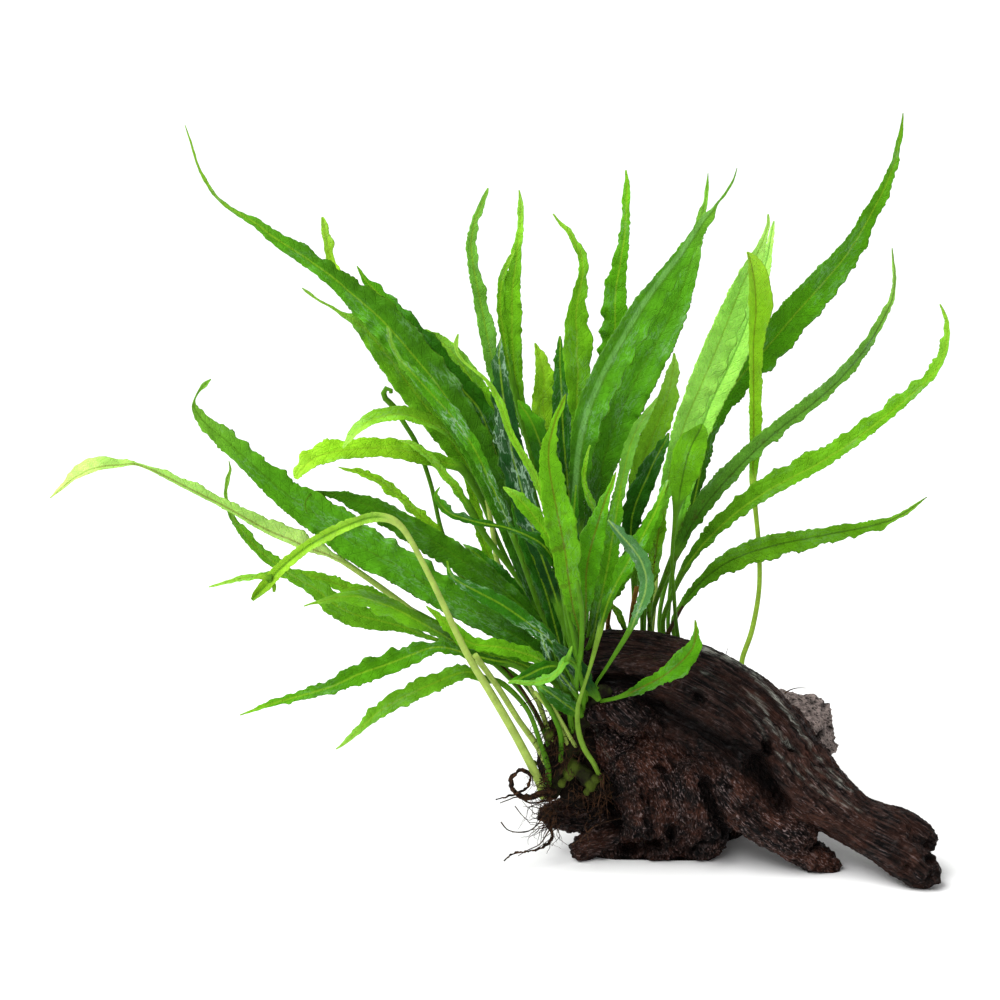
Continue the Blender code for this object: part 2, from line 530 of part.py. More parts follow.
def make_root(name, radius_mm, route, material):
    """One of the thicker roots."""
    line, _ = curve_through([from_view(*place) for place in route], ROOT_STATIONS + len(route))
    tangents = directions(line)
    rings = []
    for i, (centre, tangent) in enumerate(zip(line, tangents)):
        narrowed = 1.0 - ROOT_NARROWING * i / (len(line) - 1)
        rings.append(round_ring(centre, tangent, radius_mm * MM * narrowed, ROOT_SIDES))
    return solid_from_rings(name, rings, material)


def make_strand(route):
    """One rounded strand of wood, whose radius eases from point to point with its centre line."""
    places = [Vector((*from_view(right, down, back), radius * MM)) for right, down, back, radius in route]
    line, length = curve_through(places, STRAND_STATIONS)
    centres = [place.xyz for place in line]
    rings = []
    for i, (centre, tangent) in enumerate(zip(centres, directions(centres))):
        share = i / (len(line) - 1)
        rings.append(round_ring(centre, tangent, rounded_radius(share, length, line[i].w), STRAND_SIDES))
    return solid_from_rings("strand", rings, bpy.data.materials["wood"])


def apply_modifiers(piece):
    """Make a piece's modifiers part of its mesh."""
    bpy.context.view_layer.update()
    seen = piece.evaluated_get(bpy.context.evaluated_depsgraph_get())
    made = bpy.data.meshes.new_from_object(seen)
    piece.modifiers.clear()
    piece.data = made


def join_pieces(pieces, name):
    """Join meshes, whose bodies may still pass through one another, in one object."""
    mesh = bpy.data.meshes.new(name)
    shape = bmesh.new()
    for piece in pieces:
        shape.from_mesh(piece.data)
        bpy.data.objects.remove(piece, do_unlink=True)
    shape.to_mesh(mesh)
    shape.free()
    joined = bpy.data.objects.new(name, mesh)
    bpy.context.collection.objects.link(joined)
    return joined


def make_cutter(name, point, normal, lift):
    """Large box whose lower face stands at a plane, moved along its normal by lift."""
    mesh = bpy.data.meshes.new(name)
    shape = bmesh.new()
    bmesh.ops.create_cube(shape, size=CUTTER_SIZE)
    turn = Vector((0.0, 0.0, 1.0)).rotation_difference(Vector(normal)).to_matrix().to_4x4()
    bmesh.ops.translate(shape, verts=shape.verts, vec=(0.0, 0.0, 0.5 * CUTTER_SIZE + lift))
    bmesh.ops.transform(shape, matrix=turn, verts=shape.verts)
    bmesh.ops.translate(shape, verts=shape.verts, vec=point)
    shape.to_mesh(mesh)
    shape.free()
    cutter = bpy.data.objects.new(name, mesh)
    bpy.context.collection.objects.link(cutter)
    return cutter


def cut(piece, cutter, operation):
    """Cut a piece with another or fuse the other on, and remove the other."""
    cutter.hide_render = True
    cutter.display_type = "WIRE"
    boolean = piece.modifiers.new("cut", "BOOLEAN")
    boolean.object = cutter
    boolean.operation = operation
    boolean.solver = "EXACT"
    apply_modifiers(piece)
    bpy.data.objects.remove(cutter, do_unlink=True)


def split_off(piece, name, point, normal):
    """Part a piece at a plane: what lies beyond it becomes a piece of its own, with a thin gap between."""
    beyond = bpy.data.objects.new(name, piece.data.copy())
    bpy.context.collection.objects.link(beyond)
    direction = Vector(normal).normalized()
    cut(piece, make_cutter("fork_inner", point, direction, -0.5 * FORK_GAP), "DIFFERENCE")
    cut(beyond, make_cutter("fork_outer", point, direction, 0.5 * FORK_GAP), "INTERSECT")
    return beyond


def keep_largest_body(piece):
    """Drop crumbs that a cut leaves beside the main body."""
    shape = bmesh.new()
    shape.from_mesh(piece.data)
    left = set(shape.verts)
    bodies = []
    while left:
        grown = [left.pop()]
        for vert in grown:
            for edge in vert.link_edges:
                other = edge.other_vert(vert)
                if other in left:
                    left.remove(other)
                    grown.append(other)
        bodies.append(grown)
    bodies.sort(key=len)
    for crumb in bodies[:-1]:
        bmesh.ops.delete(shape, geom=crumb, context="VERTS")
    shape.to_mesh(piece.data)
    shape.free()


def make_wood(material):
    """Fuse the strands, flatten what stands on the ground, clear the rhizomes and part the wood at its forks."""
    body = join_pieces([make_strand(route) for route in WOOD_STRANDS], BODY_NAME)
    fuse = body.modifiers.new("fuse", "REMESH")
    fuse.mode = "VOXEL"
    fuse.voxel_size = WOOD_VOXEL
    ease = body.modifiers.new("ease", "SMOOTH")
    ease.factor = WOOD_SMOOTHING
    ease.iterations = WOOD_SMOOTH_REPEATS
    thin = body.modifiers.new("thin", "DECIMATE")
    thin.ratio = WOOD_DETAIL_KEPT
    apply_modifiers(body)
    body.data.materials.clear()
    body.data.materials.append(material)
    cut(body, make_cutter("ground", (0.0, 0.0, 0.0), (0.0, 0.0, -1.0), 0.0), "DIFFERENCE")
    for rhizome in RHIZOMES:
        groove = make_rhizome(rhizome, material)
        grow(groove, RHIZOME_GROOVE_GAP)
        cut(body, groove, "DIFFERENCE")
    pieces = [body]
    for name, seen, normal in WOOD_FORKS:
        pieces.append(split_off(body, name, from_view(*seen), normal))
    limb = pieces[-1]
    pieces.append(split_off(limb, PRONG_NAME, from_view(*PRONG_PLANE[0]), PRONG_PLANE[1]))
    for piece in pieces:
        keep_largest_body(piece)
    return pieces


def grow(piece, distance):
    """Move a mesh's faces outwards."""
    shape = bmesh.new()
    shape.from_mesh(piece.data)
    shape.normal_update()
    moves = {vert: vert.normal * distance for vert in shape.verts}
    for vert, move in moves.items():
        vert.co += move
    shape.to_mesh(piece.data)
    shape.free()


def main():
    """Build the wood, the rhizomes, the roots and the leaves."""
    clear_scene()
    materials = make_materials()
    for rhizome in RHIZOMES:
        make_rhizome(rhizome, materials["rhizome"])
    make_wood(materials["wood"])
    for name, radius_mm, route in ROOTS:
        make_root(name, radius_mm, route, materials["root"])
    for leaf in LEAVES:
        make_leaf(leaf, materials[leaf.tone])


main()
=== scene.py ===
"""Java fern on driftwood: ruffled wet leaves, creeping rhizomes, wiry roots and dark gnarled wood.

Places are read in one front view of the plant, as how far right and how far down they are seen, in
view pixels, and how far back they lie, in millimetres behind the front foot of the wood. A table of
them is text, with its rows between commas. A fourth number is a seen width or a radius.
"""

import logging
import math
from dataclasses import dataclass
from enum import Enum
from itertools import product

import bpy
import numpy as np
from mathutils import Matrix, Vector
from mathutils.bvhtree import BVHTree


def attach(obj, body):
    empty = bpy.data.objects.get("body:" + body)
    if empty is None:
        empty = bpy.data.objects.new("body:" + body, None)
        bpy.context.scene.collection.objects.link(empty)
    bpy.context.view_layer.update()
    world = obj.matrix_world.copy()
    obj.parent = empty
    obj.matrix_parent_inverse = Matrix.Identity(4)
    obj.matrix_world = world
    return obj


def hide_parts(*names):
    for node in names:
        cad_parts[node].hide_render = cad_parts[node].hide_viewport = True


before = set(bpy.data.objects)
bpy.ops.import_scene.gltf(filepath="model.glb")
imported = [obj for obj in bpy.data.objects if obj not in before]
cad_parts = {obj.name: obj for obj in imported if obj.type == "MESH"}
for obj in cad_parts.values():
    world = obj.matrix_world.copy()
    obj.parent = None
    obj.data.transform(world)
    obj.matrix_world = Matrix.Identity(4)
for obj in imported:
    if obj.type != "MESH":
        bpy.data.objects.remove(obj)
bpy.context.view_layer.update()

LOG = logging.getLogger("java_fern")
MM = 0.001

Rows = np.ndarray


# The front view, smooth lines and smooth noise


@dataclass(frozen=True)
class FrontView:
    """The view that places are read in, and the camera that shows it."""

    pixel: float = 0.35 * MM
    middle: tuple[float, float] = (500.0, 500.0)
    elevation: float = math.radians(12.0)
    distance: float = 1.0
    foot_seen_at: tuple[float, float] = (660.0, 862.0)
    foot_forward: float = 12.0 * MM
    frame_width: float = 1000.0
    sensor: float = 36.0

    def axes(self) -> Rows:
        """Unit rows: right, up in the picture, and away from the viewer."""
        sine, cosine = math.sin(self.elevation), math.cos(self.elevation)
        return np.array(((1.0, 0.0, 0.0), (0.0, sine, cosine), (0.0, cosine, -sine)))

    def eye(self) -> Rows:
        """Where the view is seen from."""
        right, up, away = self.axes()
        across = (self.foot_seen_at[0] - self.middle[0]) * self.pixel
        down = (self.foot_seen_at[1] - self.middle[1]) * self.pixel
        foot = np.array((0.0, -self.foot_forward, 0.0))
        return foot - right * across + up * down - away * self.distance

    def place(self, seen: Rows) -> Rows:
        """Turn places read in the view into places in space.

        Args:
            seen: Rows of right px, down px and back mm.

        Returns:
            One place in metres for each row.
        """
        right, up, away = self.axes()
        seen = np.atleast_2d(np.asarray(seen, float))
        eye = self.eye()
        ray = np.outer((seen[:, 0] - self.middle[0]) * self.pixel, right)
        ray += np.outer((self.middle[1] - seen[:, 1]) * self.pixel, up) + away * self.distance
        reach = (seen[:, 2] * MM - self.foot_forward - eye[1]) / ray[:, 1]
        return eye + ray * reach[:, None]

    def seen(self, places: Rows) -> Rows:
        """Where places are seen: rows of right px and down px."""
        local = (places - self.eye()) @ self.axes().T
        flat = local[:, :2] * (self.distance / (local[:, 2:] * self.pixel))
        return np.array(self.middle) + flat * (1.0, -1.0)

    def ray(self, right_px: float, down_px: float) -> Rows:
        """Unit direction in which a place in the view is seen."""
        right, up, away = self.axes()
        ray = right * (right_px - self.middle[0]) * self.pixel
        ray += up * (self.middle[1] - down_px) * self.pixel + away * self.distance
        return ray / np.linalg.norm(ray)

    def add_camera(self) -> None:
        """Stand a camera where the view is seen from."""
        lens = self.sensor * self.distance / (self.frame_width * self.pixel)
        tilt = (0.5 * math.pi - self.elevation, 0.0, 0.0)
        bpy.ops.object.camera_add(location=tuple(self.eye()), rotation=tilt)
        camera = bpy.context.object
        camera.name = "camera"
        camera.data.lens = lens
        camera.data.sensor_width = self.sensor
        camera.data.clip_start = 0.01
        bpy.context.scene.camera = camera


VIEW = FrontView()


class Route:
    """A smooth line through given rows: a place in metres and any values carried along with it."""

    steps = 24

    def __init__(self, rows: Rows) -> None:
        """Draw a Catmull-Rom line through the rows."""
        rows = np.asarray(rows, float)
        last = len(rows) - 1
        share = np.arange(self.steps)[:, None] / self.steps
        fine = []
        for index in range(last):
            before, start = rows[max(index - 1, 0)], rows[index]
            end, after = rows[index + 1], rows[min(index + 2, last)]
            fine.append(0.5 * (2.0 * start + (end - before) * share
                               + (2.0 * before - 5.0 * start + 4.0 * end - after) * share ** 2
                               + (3.0 * start - before - 3.0 * end + after) * share ** 3))
        self.rows = np.vstack(fine + [rows[-1:]])
        strides = np.linalg.norm(np.diff(self.rows[:, :3], axis=0), axis=1)
        self.travelled = np.concatenate(([0.0], np.cumsum(strides)))
        self.length = float(self.travelled[-1])

    def at(self, shares: Rows) -> Rows:
        """Rows at shares of the length, from 0 to 1."""
        wanted = np.asarray(shares) * self.length
        columns = [np.interp(wanted, self.travelled, column) for column in self.rows.T]
        return np.stack(columns, axis=1)

    def tangents(self, shares: Rows) -> Rows:
        """Unit directions of the line at shares of its length."""
        reach = 1.5 * MM / self.length
        ahead = self.at(np.clip(np.asarray(shares) + reach, 0.0, 1.0))[:, :3]
        behind = self.at(np.clip(np.asarray(shares) - reach, 0.0, 1.0))[:, :3]
        return unit(ahead - behind)


def unit(rows: Rows) -> Rows:
    """Rows scaled to length 1."""
    return rows / np.maximum(np.linalg.norm(rows, axis=-1, keepdims=True), 1e-12)


def ease(value: Rows) -> Rows:
    """Ease from 0 to 1."""
    held = np.clip(value, 0.0, 1.0)
    return held * held * (3.0 - 2.0 * held)


def rows_of(text: str) -> Rows:
    """Numbers of a table, whose rows stand between commas."""
    return np.array([row.split() for row in text.split(",")], float)


def strokes(text: str) -> list[tuple[float, float, Rows]]:
    """Two measures from each line of a table, and the rows after its colon."""
    parts = [line.split(":") for line in text.strip().splitlines()]
    return [(*map(float, measures.split()), rows_of(stroke)) for measures, stroke in parts]


def route_of(text: str) -> Route:
    """Line through a table's places. A fourth number is a radius in millimetres, carried along in metres."""
    given = rows_of(text)
    return Route(np.hstack((VIEW.place(given[:, :3]), given[:, 3:] * MM)))


class Grain:
    """Smooth seeded noise in space, from about -1 to 1."""

    def __init__(self, seed: int) -> None:
        """Shuffle a table of slopes."""
        draw = np.random.default_rng(seed)
        self.table = draw.permutation(256)
        self.slopes = unit(draw.normal(size=(256, 3)))

    def at(self, places: Rows) -> Rows:
        """Noise at places whose unit is one wave."""
        cell = np.floor(places).astype(np.int64)
        local = places - cell
        fade = local ** 3 * (local * (local * 6.0 - 15.0) + 10.0)
        total = np.zeros(len(places))
        for corner in product((0, 1), repeat=3):
            index = self.table[(cell[:, 0] + corner[0]) & 255]
            index = self.table[(index + cell[:, 1] + corner[1]) & 255]
            index = self.table[(index + cell[:, 2] + corner[2]) & 255]
            weight = np.prod(np.where(np.array(corner) == 1, fade, 1.0 - fade), axis=1)
            total += weight * np.sum(self.slopes[index] * (local - np.array(corner)), axis=1)
        return total * 1.7

    def along(self, values: Rows, lane: float = 0.0) -> Rows:
        """Noise along one line of values."""
        values = np.asarray(values, float)
        lanes = np.full_like(values, lane + 0.37), np.full_like(values, 0.71)
        return self.at(np.stack((values, *lanes), axis=1))

    def layered(self, places: Rows, layers: int) -> Rows:
        """Noise with finer layers, each half as strong as the one before."""
        total = np.zeros(len(places))
        for layer in range(layers):
            total += self.at(places * 2.0 ** layer + 17.3 * layer) * 0.5 ** layer
        return total


# Meshes


def deselect_all() -> None:
    """Leave object mode with nothing selected."""
    if bpy.context.object and bpy.context.object.mode != "OBJECT":
        bpy.ops.object.mode_set(mode="OBJECT")
    bpy.ops.object.select_all(action="DESELECT")


def choose(piece: bpy.types.Object) -> None:
    """Make one object the selected and active one."""
    deselect_all()
    piece.select_set(True)
    bpy.context.view_layer.objects.active = piece


def coordinates(mesh: bpy.types.Mesh) -> Rows:
    """Places of a mesh's vertices."""
    flat = np.empty(len(mesh.vertices) * 3, np.float32)
    mesh.vertices.foreach_get("co", flat)
    return flat.reshape(-1, 3).astype(float)


def normals(mesh: bpy.types.Mesh) -> Rows:
    """Normals of a mesh's vertices."""
    flat = np.empty(len(mesh.vertices) * 3, np.float32)
    mesh.vertices.foreach_get("normal", flat)
    return flat.reshape(-1, 3).astype(float)


def move_to(mesh: bpy.types.Mesh, places: Rows) -> None:
    """Put a mesh's vertices at places."""
    mesh.vertices.foreach_set("co", places.astype(np.float32).ravel())
    mesh.update()


def write_values(mesh: bpy.types.Mesh, name: str, rows: Rows) -> None:
    """Store one number, vector or colour for each vertex.

    Args:
        mesh: The mesh that carries them.
        name: The attribute's name, which a material reads.
        rows: One row for each vertex: 1, 3 or 4 numbers.
    """
    width = 1 if rows.ndim == 1 else rows.shape[1]
    kind, field = {1: ("FLOAT", "value"), 3: ("FLOAT_VECTOR", "vector"), 4: ("FLOAT_COLOR", "color")}[width]
    layer = mesh.attributes.new(name, kind, "POINT")
    layer.data.foreach_set(field, rows.astype(np.float32).ravel())


def skin(name: str, rings: Rows, values: dict[str, Rows]) -> bpy.types.Object:
    """Roll a grid round rings of places, merge its seam and close its ends.

    Args:
        name: The piece's name.
        rings: Places, by ring and by place in the ring.
        values: For each attribute, a number, vector or colour by ring and by place in the ring.

    Returns:
        The closed piece, smooth shaded, at the origin.
    """
    count, around = rings.shape[:2]
    deselect_all()
    bpy.ops.mesh.primitive_grid_add(x_subdivisions=around, y_subdivisions=count - 1, size=1.0)
    piece = bpy.context.object
    piece.name = piece.data.name = name
    move_to(piece.data, np.concatenate((rings, rings[:, :1]), axis=1).reshape(-1, 3))
    for label, rows in values.items():
        rolled = np.concatenate((rows, rows[:, :1]), axis=1)
        write_values(piece.data, label, rolled.reshape((count * (around + 1),) + rows.shape[2:]))
    bpy.ops.object.mode_set(mode="EDIT")
    bpy.ops.mesh.select_all(action="SELECT")
    bpy.ops.mesh.remove_doubles(threshold=1e-7)
    bpy.ops.mesh.select_all(action="SELECT")
    bpy.ops.mesh.fill_holes(sides=0)
    bpy.ops.mesh.select_all(action="SELECT")
    bpy.ops.mesh.normals_make_consistent(inside=False)
    bpy.ops.object.mode_set(mode="OBJECT")
    bpy.ops.object.shade_smooth()
    while piece.data.uv_layers:
        piece.data.uv_layers.remove(piece.data.uv_layers[0])
    return piece


def tube(name: str, line: Rows, radii: Rows, around: int) -> bpy.types.Object:
    """Closed tube along a line.

    Args:
        name: The piece's name.
        line: Places along its middle.
        radii: Its radius at each place.
        around: Number of sides.

    Returns:
        The closed tube.
    """
    tangents = unit(np.gradient(line, axis=0))
    side = unit(np.cross(tangents, (0.0, 1.0, 0.0)) + np.cross(tangents, (0.0, 0.0, 0.02)))
    lift = np.cross(side, tangents)
    turns = np.arange(around) * 2.0 * math.pi / around
    ring = side[:, None] * np.cos(turns)[None, :, None] + lift[:, None] * np.sin(turns)[None, :, None]
    return skin(name, line[:, None] + ring * radii[:, None, None], {})


def apply_modifier(piece: bpy.types.Object, kind: str, **settings: object) -> None:
    """Add a modifier with its settings and make it part of the mesh."""
    choose(piece)
    modifier = piece.modifiers.new(kind.lower(), kind)
    for setting, value in settings.items():
        setattr(modifier, setting, value)
    bpy.ops.object.modifier_apply(modifier=modifier.name)


def joined(parts: list[bpy.types.Object], name: str) -> bpy.types.Object:
    """Join parts in one object of a given name."""
    deselect_all()
    for part in parts:
        part.select_set(True)
    bpy.context.view_layer.objects.active = parts[0]
    if len(parts) > 1:
        bpy.ops.object.join()
    whole = bpy.context.view_layer.objects.active
    whole.name = whole.data.name = name
    return whole


def cover(piece: bpy.types.Object, finish: bpy.types.Material) -> None:
    """Shade the selected piece smooth and give it one finish."""
    bpy.ops.object.shade_smooth()
    piece.data.materials.clear()
    piece.data.materials.append(finish)


# Materials


def linear(colour: tuple[float, ...]) -> Rows:
    """Linear colour of one given as screen values from 0 to 255."""
    share = np.asarray(colour, float) / 255.0
    return np.where(share <= 0.04045, share / 12.92, ((share + 0.055) / 1.055) ** 2.4)


class Wire:
    """A socket that takes part in arithmetic: each operation adds a Math node."""

    def __init__(self, sheet: "Sheet", socket: bpy.types.NodeSocket) -> None:
        """Wrap a socket of a sheet's tree."""
        self.sheet = sheet
        self.socket = socket

    def __add__(self, other: "Wire | float") -> "Wire":
        """Sum."""
        return self.sheet.math("ADD", self, other)

    __radd__ = __add__

    def __sub__(self, other: "Wire | float") -> "Wire":
        """Difference."""
        return self.sheet.math("SUBTRACT", self, other)

    def __rsub__(self, other: float) -> "Wire":
        """Difference from a number."""
        return self.sheet.math("SUBTRACT", other, self)

    def __mul__(self, other: "Wire | float") -> "Wire":
        """Product."""
        return self.sheet.math("MULTIPLY", self, other)

    def __abs__(self) -> "Wire":
        """Size without sign."""
        return self.sheet.math("ABSOLUTE", self)

    def larger(self, other: "Wire | float") -> "Wire":
        """Larger of the two."""
        return self.sheet.math("MAXIMUM", self, other)

    def wrapped(self) -> "Wire":
        """What is left past the last whole number."""
        return self.sheet.math("FRACT", self)

    def step(self, low: float, high: float) -> "Wire":
        """Ease from 0 at low to 1 at high, or the other way where high is the smaller."""
        if high < low:
            return 1.0 - self.step(high, low)
        inputs = {"Value": self, "From Min": low, "From Max": high}
        return self.sheet.node("ShaderNodeMapRange", {"interpolation_type": "SMOOTHSTEP"}, inputs)


class Sheet:
    """The node tree of one material, which a finish draws on."""

    def __init__(self, name: str) -> None:
        """Start a material with a Principled shader."""
        self.material = bpy.data.materials.new(name)
        self.material.use_nodes = True
        self.tree = self.material.node_tree
        self.shader = self.tree.nodes["Principled BSDF"]

    def node(self, kind: str, settings: dict, inputs: dict, output: int | str = 0) -> Wire:
        """Add a node.

        Args:
            kind: The node's type.
            settings: Its own settings, which are set first.
            inputs: Values or wires by socket name or number.
            output: The output that is wanted.

        Returns:
            That output.
        """
        made = self.tree.nodes.new(kind)
        for setting, value in settings.items():
            setattr(made, setting, value)
        for name, value in inputs.items():
            self.feed(made.inputs[name], value)
        return Wire(self, made.outputs[output])

    def feed(self, socket: bpy.types.NodeSocket, value: object) -> None:
        """Give a socket a wire or a value."""
        if isinstance(value, Wire):
            self.tree.links.new(value.socket, socket)
        else:
            socket.default_value = value

    def math(self, operation: str, *values: "Wire | float") -> Wire:
        """Add a Math node."""
        return self.node("ShaderNodeMath", {"operation": operation}, dict(enumerate(values)))

    def blend(self, share: "Wire | float", first: object, second: object) -> Wire:
        """Mix two colours."""
        inputs = {0: share, 6: self.colour(first), 7: self.colour(second)}
        return self.node("ShaderNodeMix", {"data_type": "RGBA"}, inputs, 2)

    @staticmethod
    def colour(value: object) -> object:
        """A wire as it is, or screen values from 0 to 255 as a linear colour with alpha."""
        if isinstance(value, Wire):
            return value
        return (*linear(value), 1.0)

    def brighten(self, colour: Wire, amount: Wire) -> Wire:
        """A colour with its brightness multiplied."""
        return self.node("ShaderNodeHueSaturation", {}, {"Color": colour, "Value": amount})

    def attribute(self, name: str, output: str = "Fac") -> Wire:
        """A value that the mesh carries."""
        return self.node("ShaderNodeAttribute", {"attribute_name": name}, {}, output)

    def places(self) -> Wire:
        """Object coordinates."""
        return self.node("ShaderNodeTexCoord", {}, {}, "Object")

    def stretched(self, where: Wire, scale: tuple[float, float, float]) -> Wire:
        """Places with each axis scaled."""
        return self.node("ShaderNodeMapping", {}, {"Vector": where, "Scale": scale})

    def noise(self, where: Wire, scale: float, detail: float = 2.0, rough: float = 0.5) -> Wire:
        """Soft noise from 0 to 1."""
        inputs = {"Vector": where, "Scale": scale, "Detail": detail, "Roughness": rough}
        return self.node("ShaderNodeTexNoise", {}, inputs)

    def cells(self, where: Wire, scale: float, feature: str = "DISTANCE_TO_EDGE") -> Wire:
        """Distance to the nearest edge between cells, or to the nearest cell's middle."""
        inputs = {"Vector": where, "Scale": scale}
        return self.node("ShaderNodeTexVoronoi", {"feature": feature}, inputs, "Distance")

    def split(self, vector: Wire) -> list[Wire]:
        """The three parts of a vector."""
        made = self.tree.nodes.new("ShaderNodeSeparateXYZ")
        self.feed(made.inputs[0], vector)
        return [Wire(self, output) for output in made.outputs]

    def bump(self, height: Wire, distance: float, strength: float = 1.0) -> Wire:
        """A normal that follows a height."""
        inputs = {"Height": height, "Distance": distance, "Strength": strength}
        return self.node("ShaderNodeBump", {}, inputs)

    def finish(self, **inputs: object) -> bpy.types.Material:
        """Set the shader's sockets, named with underscores for spaces, and hand over the material."""
        for name, value in inputs.items():
            self.feed(self.shader.inputs[name.replace("_", " ")], value)
        return self.material


class Tone(Enum):
    """Leaf tones of the record, each a material slot."""

    PALE = "leaf_pale"
    BRIGHT = "leaf_bright"
    MID = "leaf_mid"
    DARK = "leaf_dark"
    WET = "leaf_wet"


class Green(Enum):
    """Leaf colours as screen values: the blade, its lower part, darker partly by its own colour and partly as
    painted shade from the leaves above, and its tip.
    """

    GRASS = ((94, 156, 18), (60, 114, 8), (126, 184, 50))
    TURF = ((90, 154, 16), (36, 80, 6), (110, 172, 24))
    WILLOW = ((98, 160, 26), (84, 142, 20), (134, 188, 70))
    REED = ((88, 144, 42), (50, 100, 10), (150, 206, 84))
    MEADOW = ((72, 136, 10), (34, 76, 6), (98, 164, 26))
    DEEP = ((36, 90, 6), (24, 62, 4), (84, 160, 20))
    FERN = ((73, 138, 18), (34, 80, 8), (116, 174, 52))
    FOREST = ((32, 84, 9), (20, 60, 6), (56, 120, 16))
    TEAL = ((24, 66, 22), (20, 58, 14), (40, 88, 30))
    EMERALD = ((46, 108, 14), (26, 74, 8), (58, 124, 18))
    SAGE = ((76, 130, 66), (66, 122, 40), (74, 122, 72))
    SPRING = ((120, 182, 34), (58, 118, 12), (146, 202, 70))
    MINT = ((104, 166, 50), (60, 118, 26), (122, 182, 66))
    LIME = ((132, 190, 30), (94, 154, 18), (152, 206, 48))
    GLASS = ((156, 218, 88), (100, 172, 32), (172, 226, 104))
    PALE = ((150, 198, 88), (168, 198, 104), (190, 228, 118))
    CHARTREUSE = ((140, 190, 44), (136, 180, 64), (106, 150, 18))
    OLIVE = ((98, 164, 18), (84, 148, 14), (92, 152, 22))
    MOSS = ((58, 112, 8), (34, 78, 4), (76, 116, 16))


class Rib(Enum):
    """Midrib colours as screen values."""

    YELLOW = (126, 166, 32)
    OLIVE = (70, 118, 14)
    RUSSET = (100, 84, 18)
    DARK = (44, 66, 14)
    PALE = (164, 200, 96)
    # painted shade: the darker groove along the midrib of a folded leaf
    GROOVE = (56, 120, 16)


class Stalk(Enum):
    """Stalk colours as screen values."""

    PALE = (156, 180, 84)
    GREEN = (74, 122, 22)
    LIME = (140, 176, 56)
    LEEK = (108, 144, 46)
    RUST = (112, 84, 30)
    DARK = (58, 46, 20)


@dataclass(frozen=True)
class LeafFinish:
    """Leathery wet leaf: veins, russet specks, puckers and a film of water, with painted highlights as pale
    streaks on its wrinkles.
    """

    tone: Tone
    roughness: float
    film: float
    puckers: float
    # strength of the painted highlights: pale streaks on the wrinkled film of water
    streaks: float
    glow: float

    def material(self) -> bpy.types.Material:
        """Draw the finish. It reads the leaf's own coordinates in millimetres from its mesh."""
        sheet = Sheet("finish_" + self.tone.value)
        where = sheet.attribute("blade", "Vector")
        lamina = sheet.attribute("lamina")
        edge = sheet.attribute("edge")
        across, along, _ = sheet.split(where)
        mottle = sheet.noise(where, 0.16, 3.0)
        fine = sheet.noise(where, 0.9, 3.0)
        drift = sheet.node("ShaderNodeTexNoise", {}, {"Vector": where, "Scale": 0.4}, 1)
        warped = sheet.node("ShaderNodeVectorMath", {"operation": "ADD"}, {0: where, 1: drift})
        net = sheet.cells(sheet.stretched(warped, (1.0, 0.7, 1.0)), 0.55).step(0.09, 0.015)
        slant = along * 0.22 - abs(across) * 0.24 + mottle * 0.6
        side_rib = abs(slant.wrapped() - 0.5).step(0.08, 0.01)
        on_blade = lamina * edge.step(0.02, 0.16)
        veins = (net * 0.6).larger(side_rib) * on_blade
        rib = abs(across).step(0.46, 0.16) * lamina
        shade = mottle * 0.80 + fine * 0.36 + 0.42 + veins * 0.16
        colour = sheet.brighten(sheet.attribute("tint", "Color"), shade)
        colour = sheet.blend(edge.step(0.10, 0.0) * lamina * 0.22, colour, (124, 176, 48))
        # Painted highlight: a pale strip beside the midrib.
        painted_rib_highlight = abs(across - 1.1).step(1.5, 0.5) * lamina * (mottle * 0.8 + 0.3)
        colour = sheet.blend(painted_rib_highlight * sheet.attribute("painted_rib_highlight"), colour, (124, 184, 92))
        colour = sheet.blend(rib * 0.5, colour, sheet.attribute("rib", "Color"))
        specks = sheet.cells(where, 0.8, "F1").step(0.30, 0.16) * sheet.noise(where, 0.3).step(0.44, 0.58)
        specks = specks * (abs(across).step(2.4, 0.6) * 0.8 + 0.2)
        blots = sheet.noise(where, 0.22, 4.0).step(0.56, 0.66)
        colour = sheet.blend(specks.larger(blots * 0.6) * sheet.attribute("speckle"), colour, (64, 40, 14))
        wrinkles = sheet.noise(sheet.stretched(where, (1.0, 0.26, 1.0)), 0.70, 3.0, 0.55)
        highlight_creases = abs(wrinkles - 0.5).step(0.055, 0.012)
        # Patches of water film: a real coat, and where the painted highlights fall.
        wet = sheet.noise(sheet.stretched(where, (1.0, 0.30, 1.0)), 0.16, 2.0).step(0.46, 0.66) * lamina
        # Painted highlights: pale streaks and patches on the wrinkles, where the lamps would shine back.
        colour = sheet.blend(highlight_creases * wet * self.streaks, colour, (156, 192, 160))
        colour = sheet.blend(wrinkles.step(0.50, 0.70) * wet * self.streaks * 0.30, colour, (104, 160, 104))
        height = wrinkles * self.puckers - veins * 0.30
        return sheet.finish(
            Base_Color=colour,
            Roughness=self.roughness + fine * 0.16,
            Specular_IOR_Level=0.05,
            Coat_Weight=wet * self.film,
            Coat_Roughness=0.18,
            Subsurface_Weight=self.glow,
            Subsurface_Radius=(0.4, 1.0, 0.1),
            Subsurface_Scale=1.2 * MM,
            Normal=sheet.bump(height, 0.8 * MM, 0.9),
        )


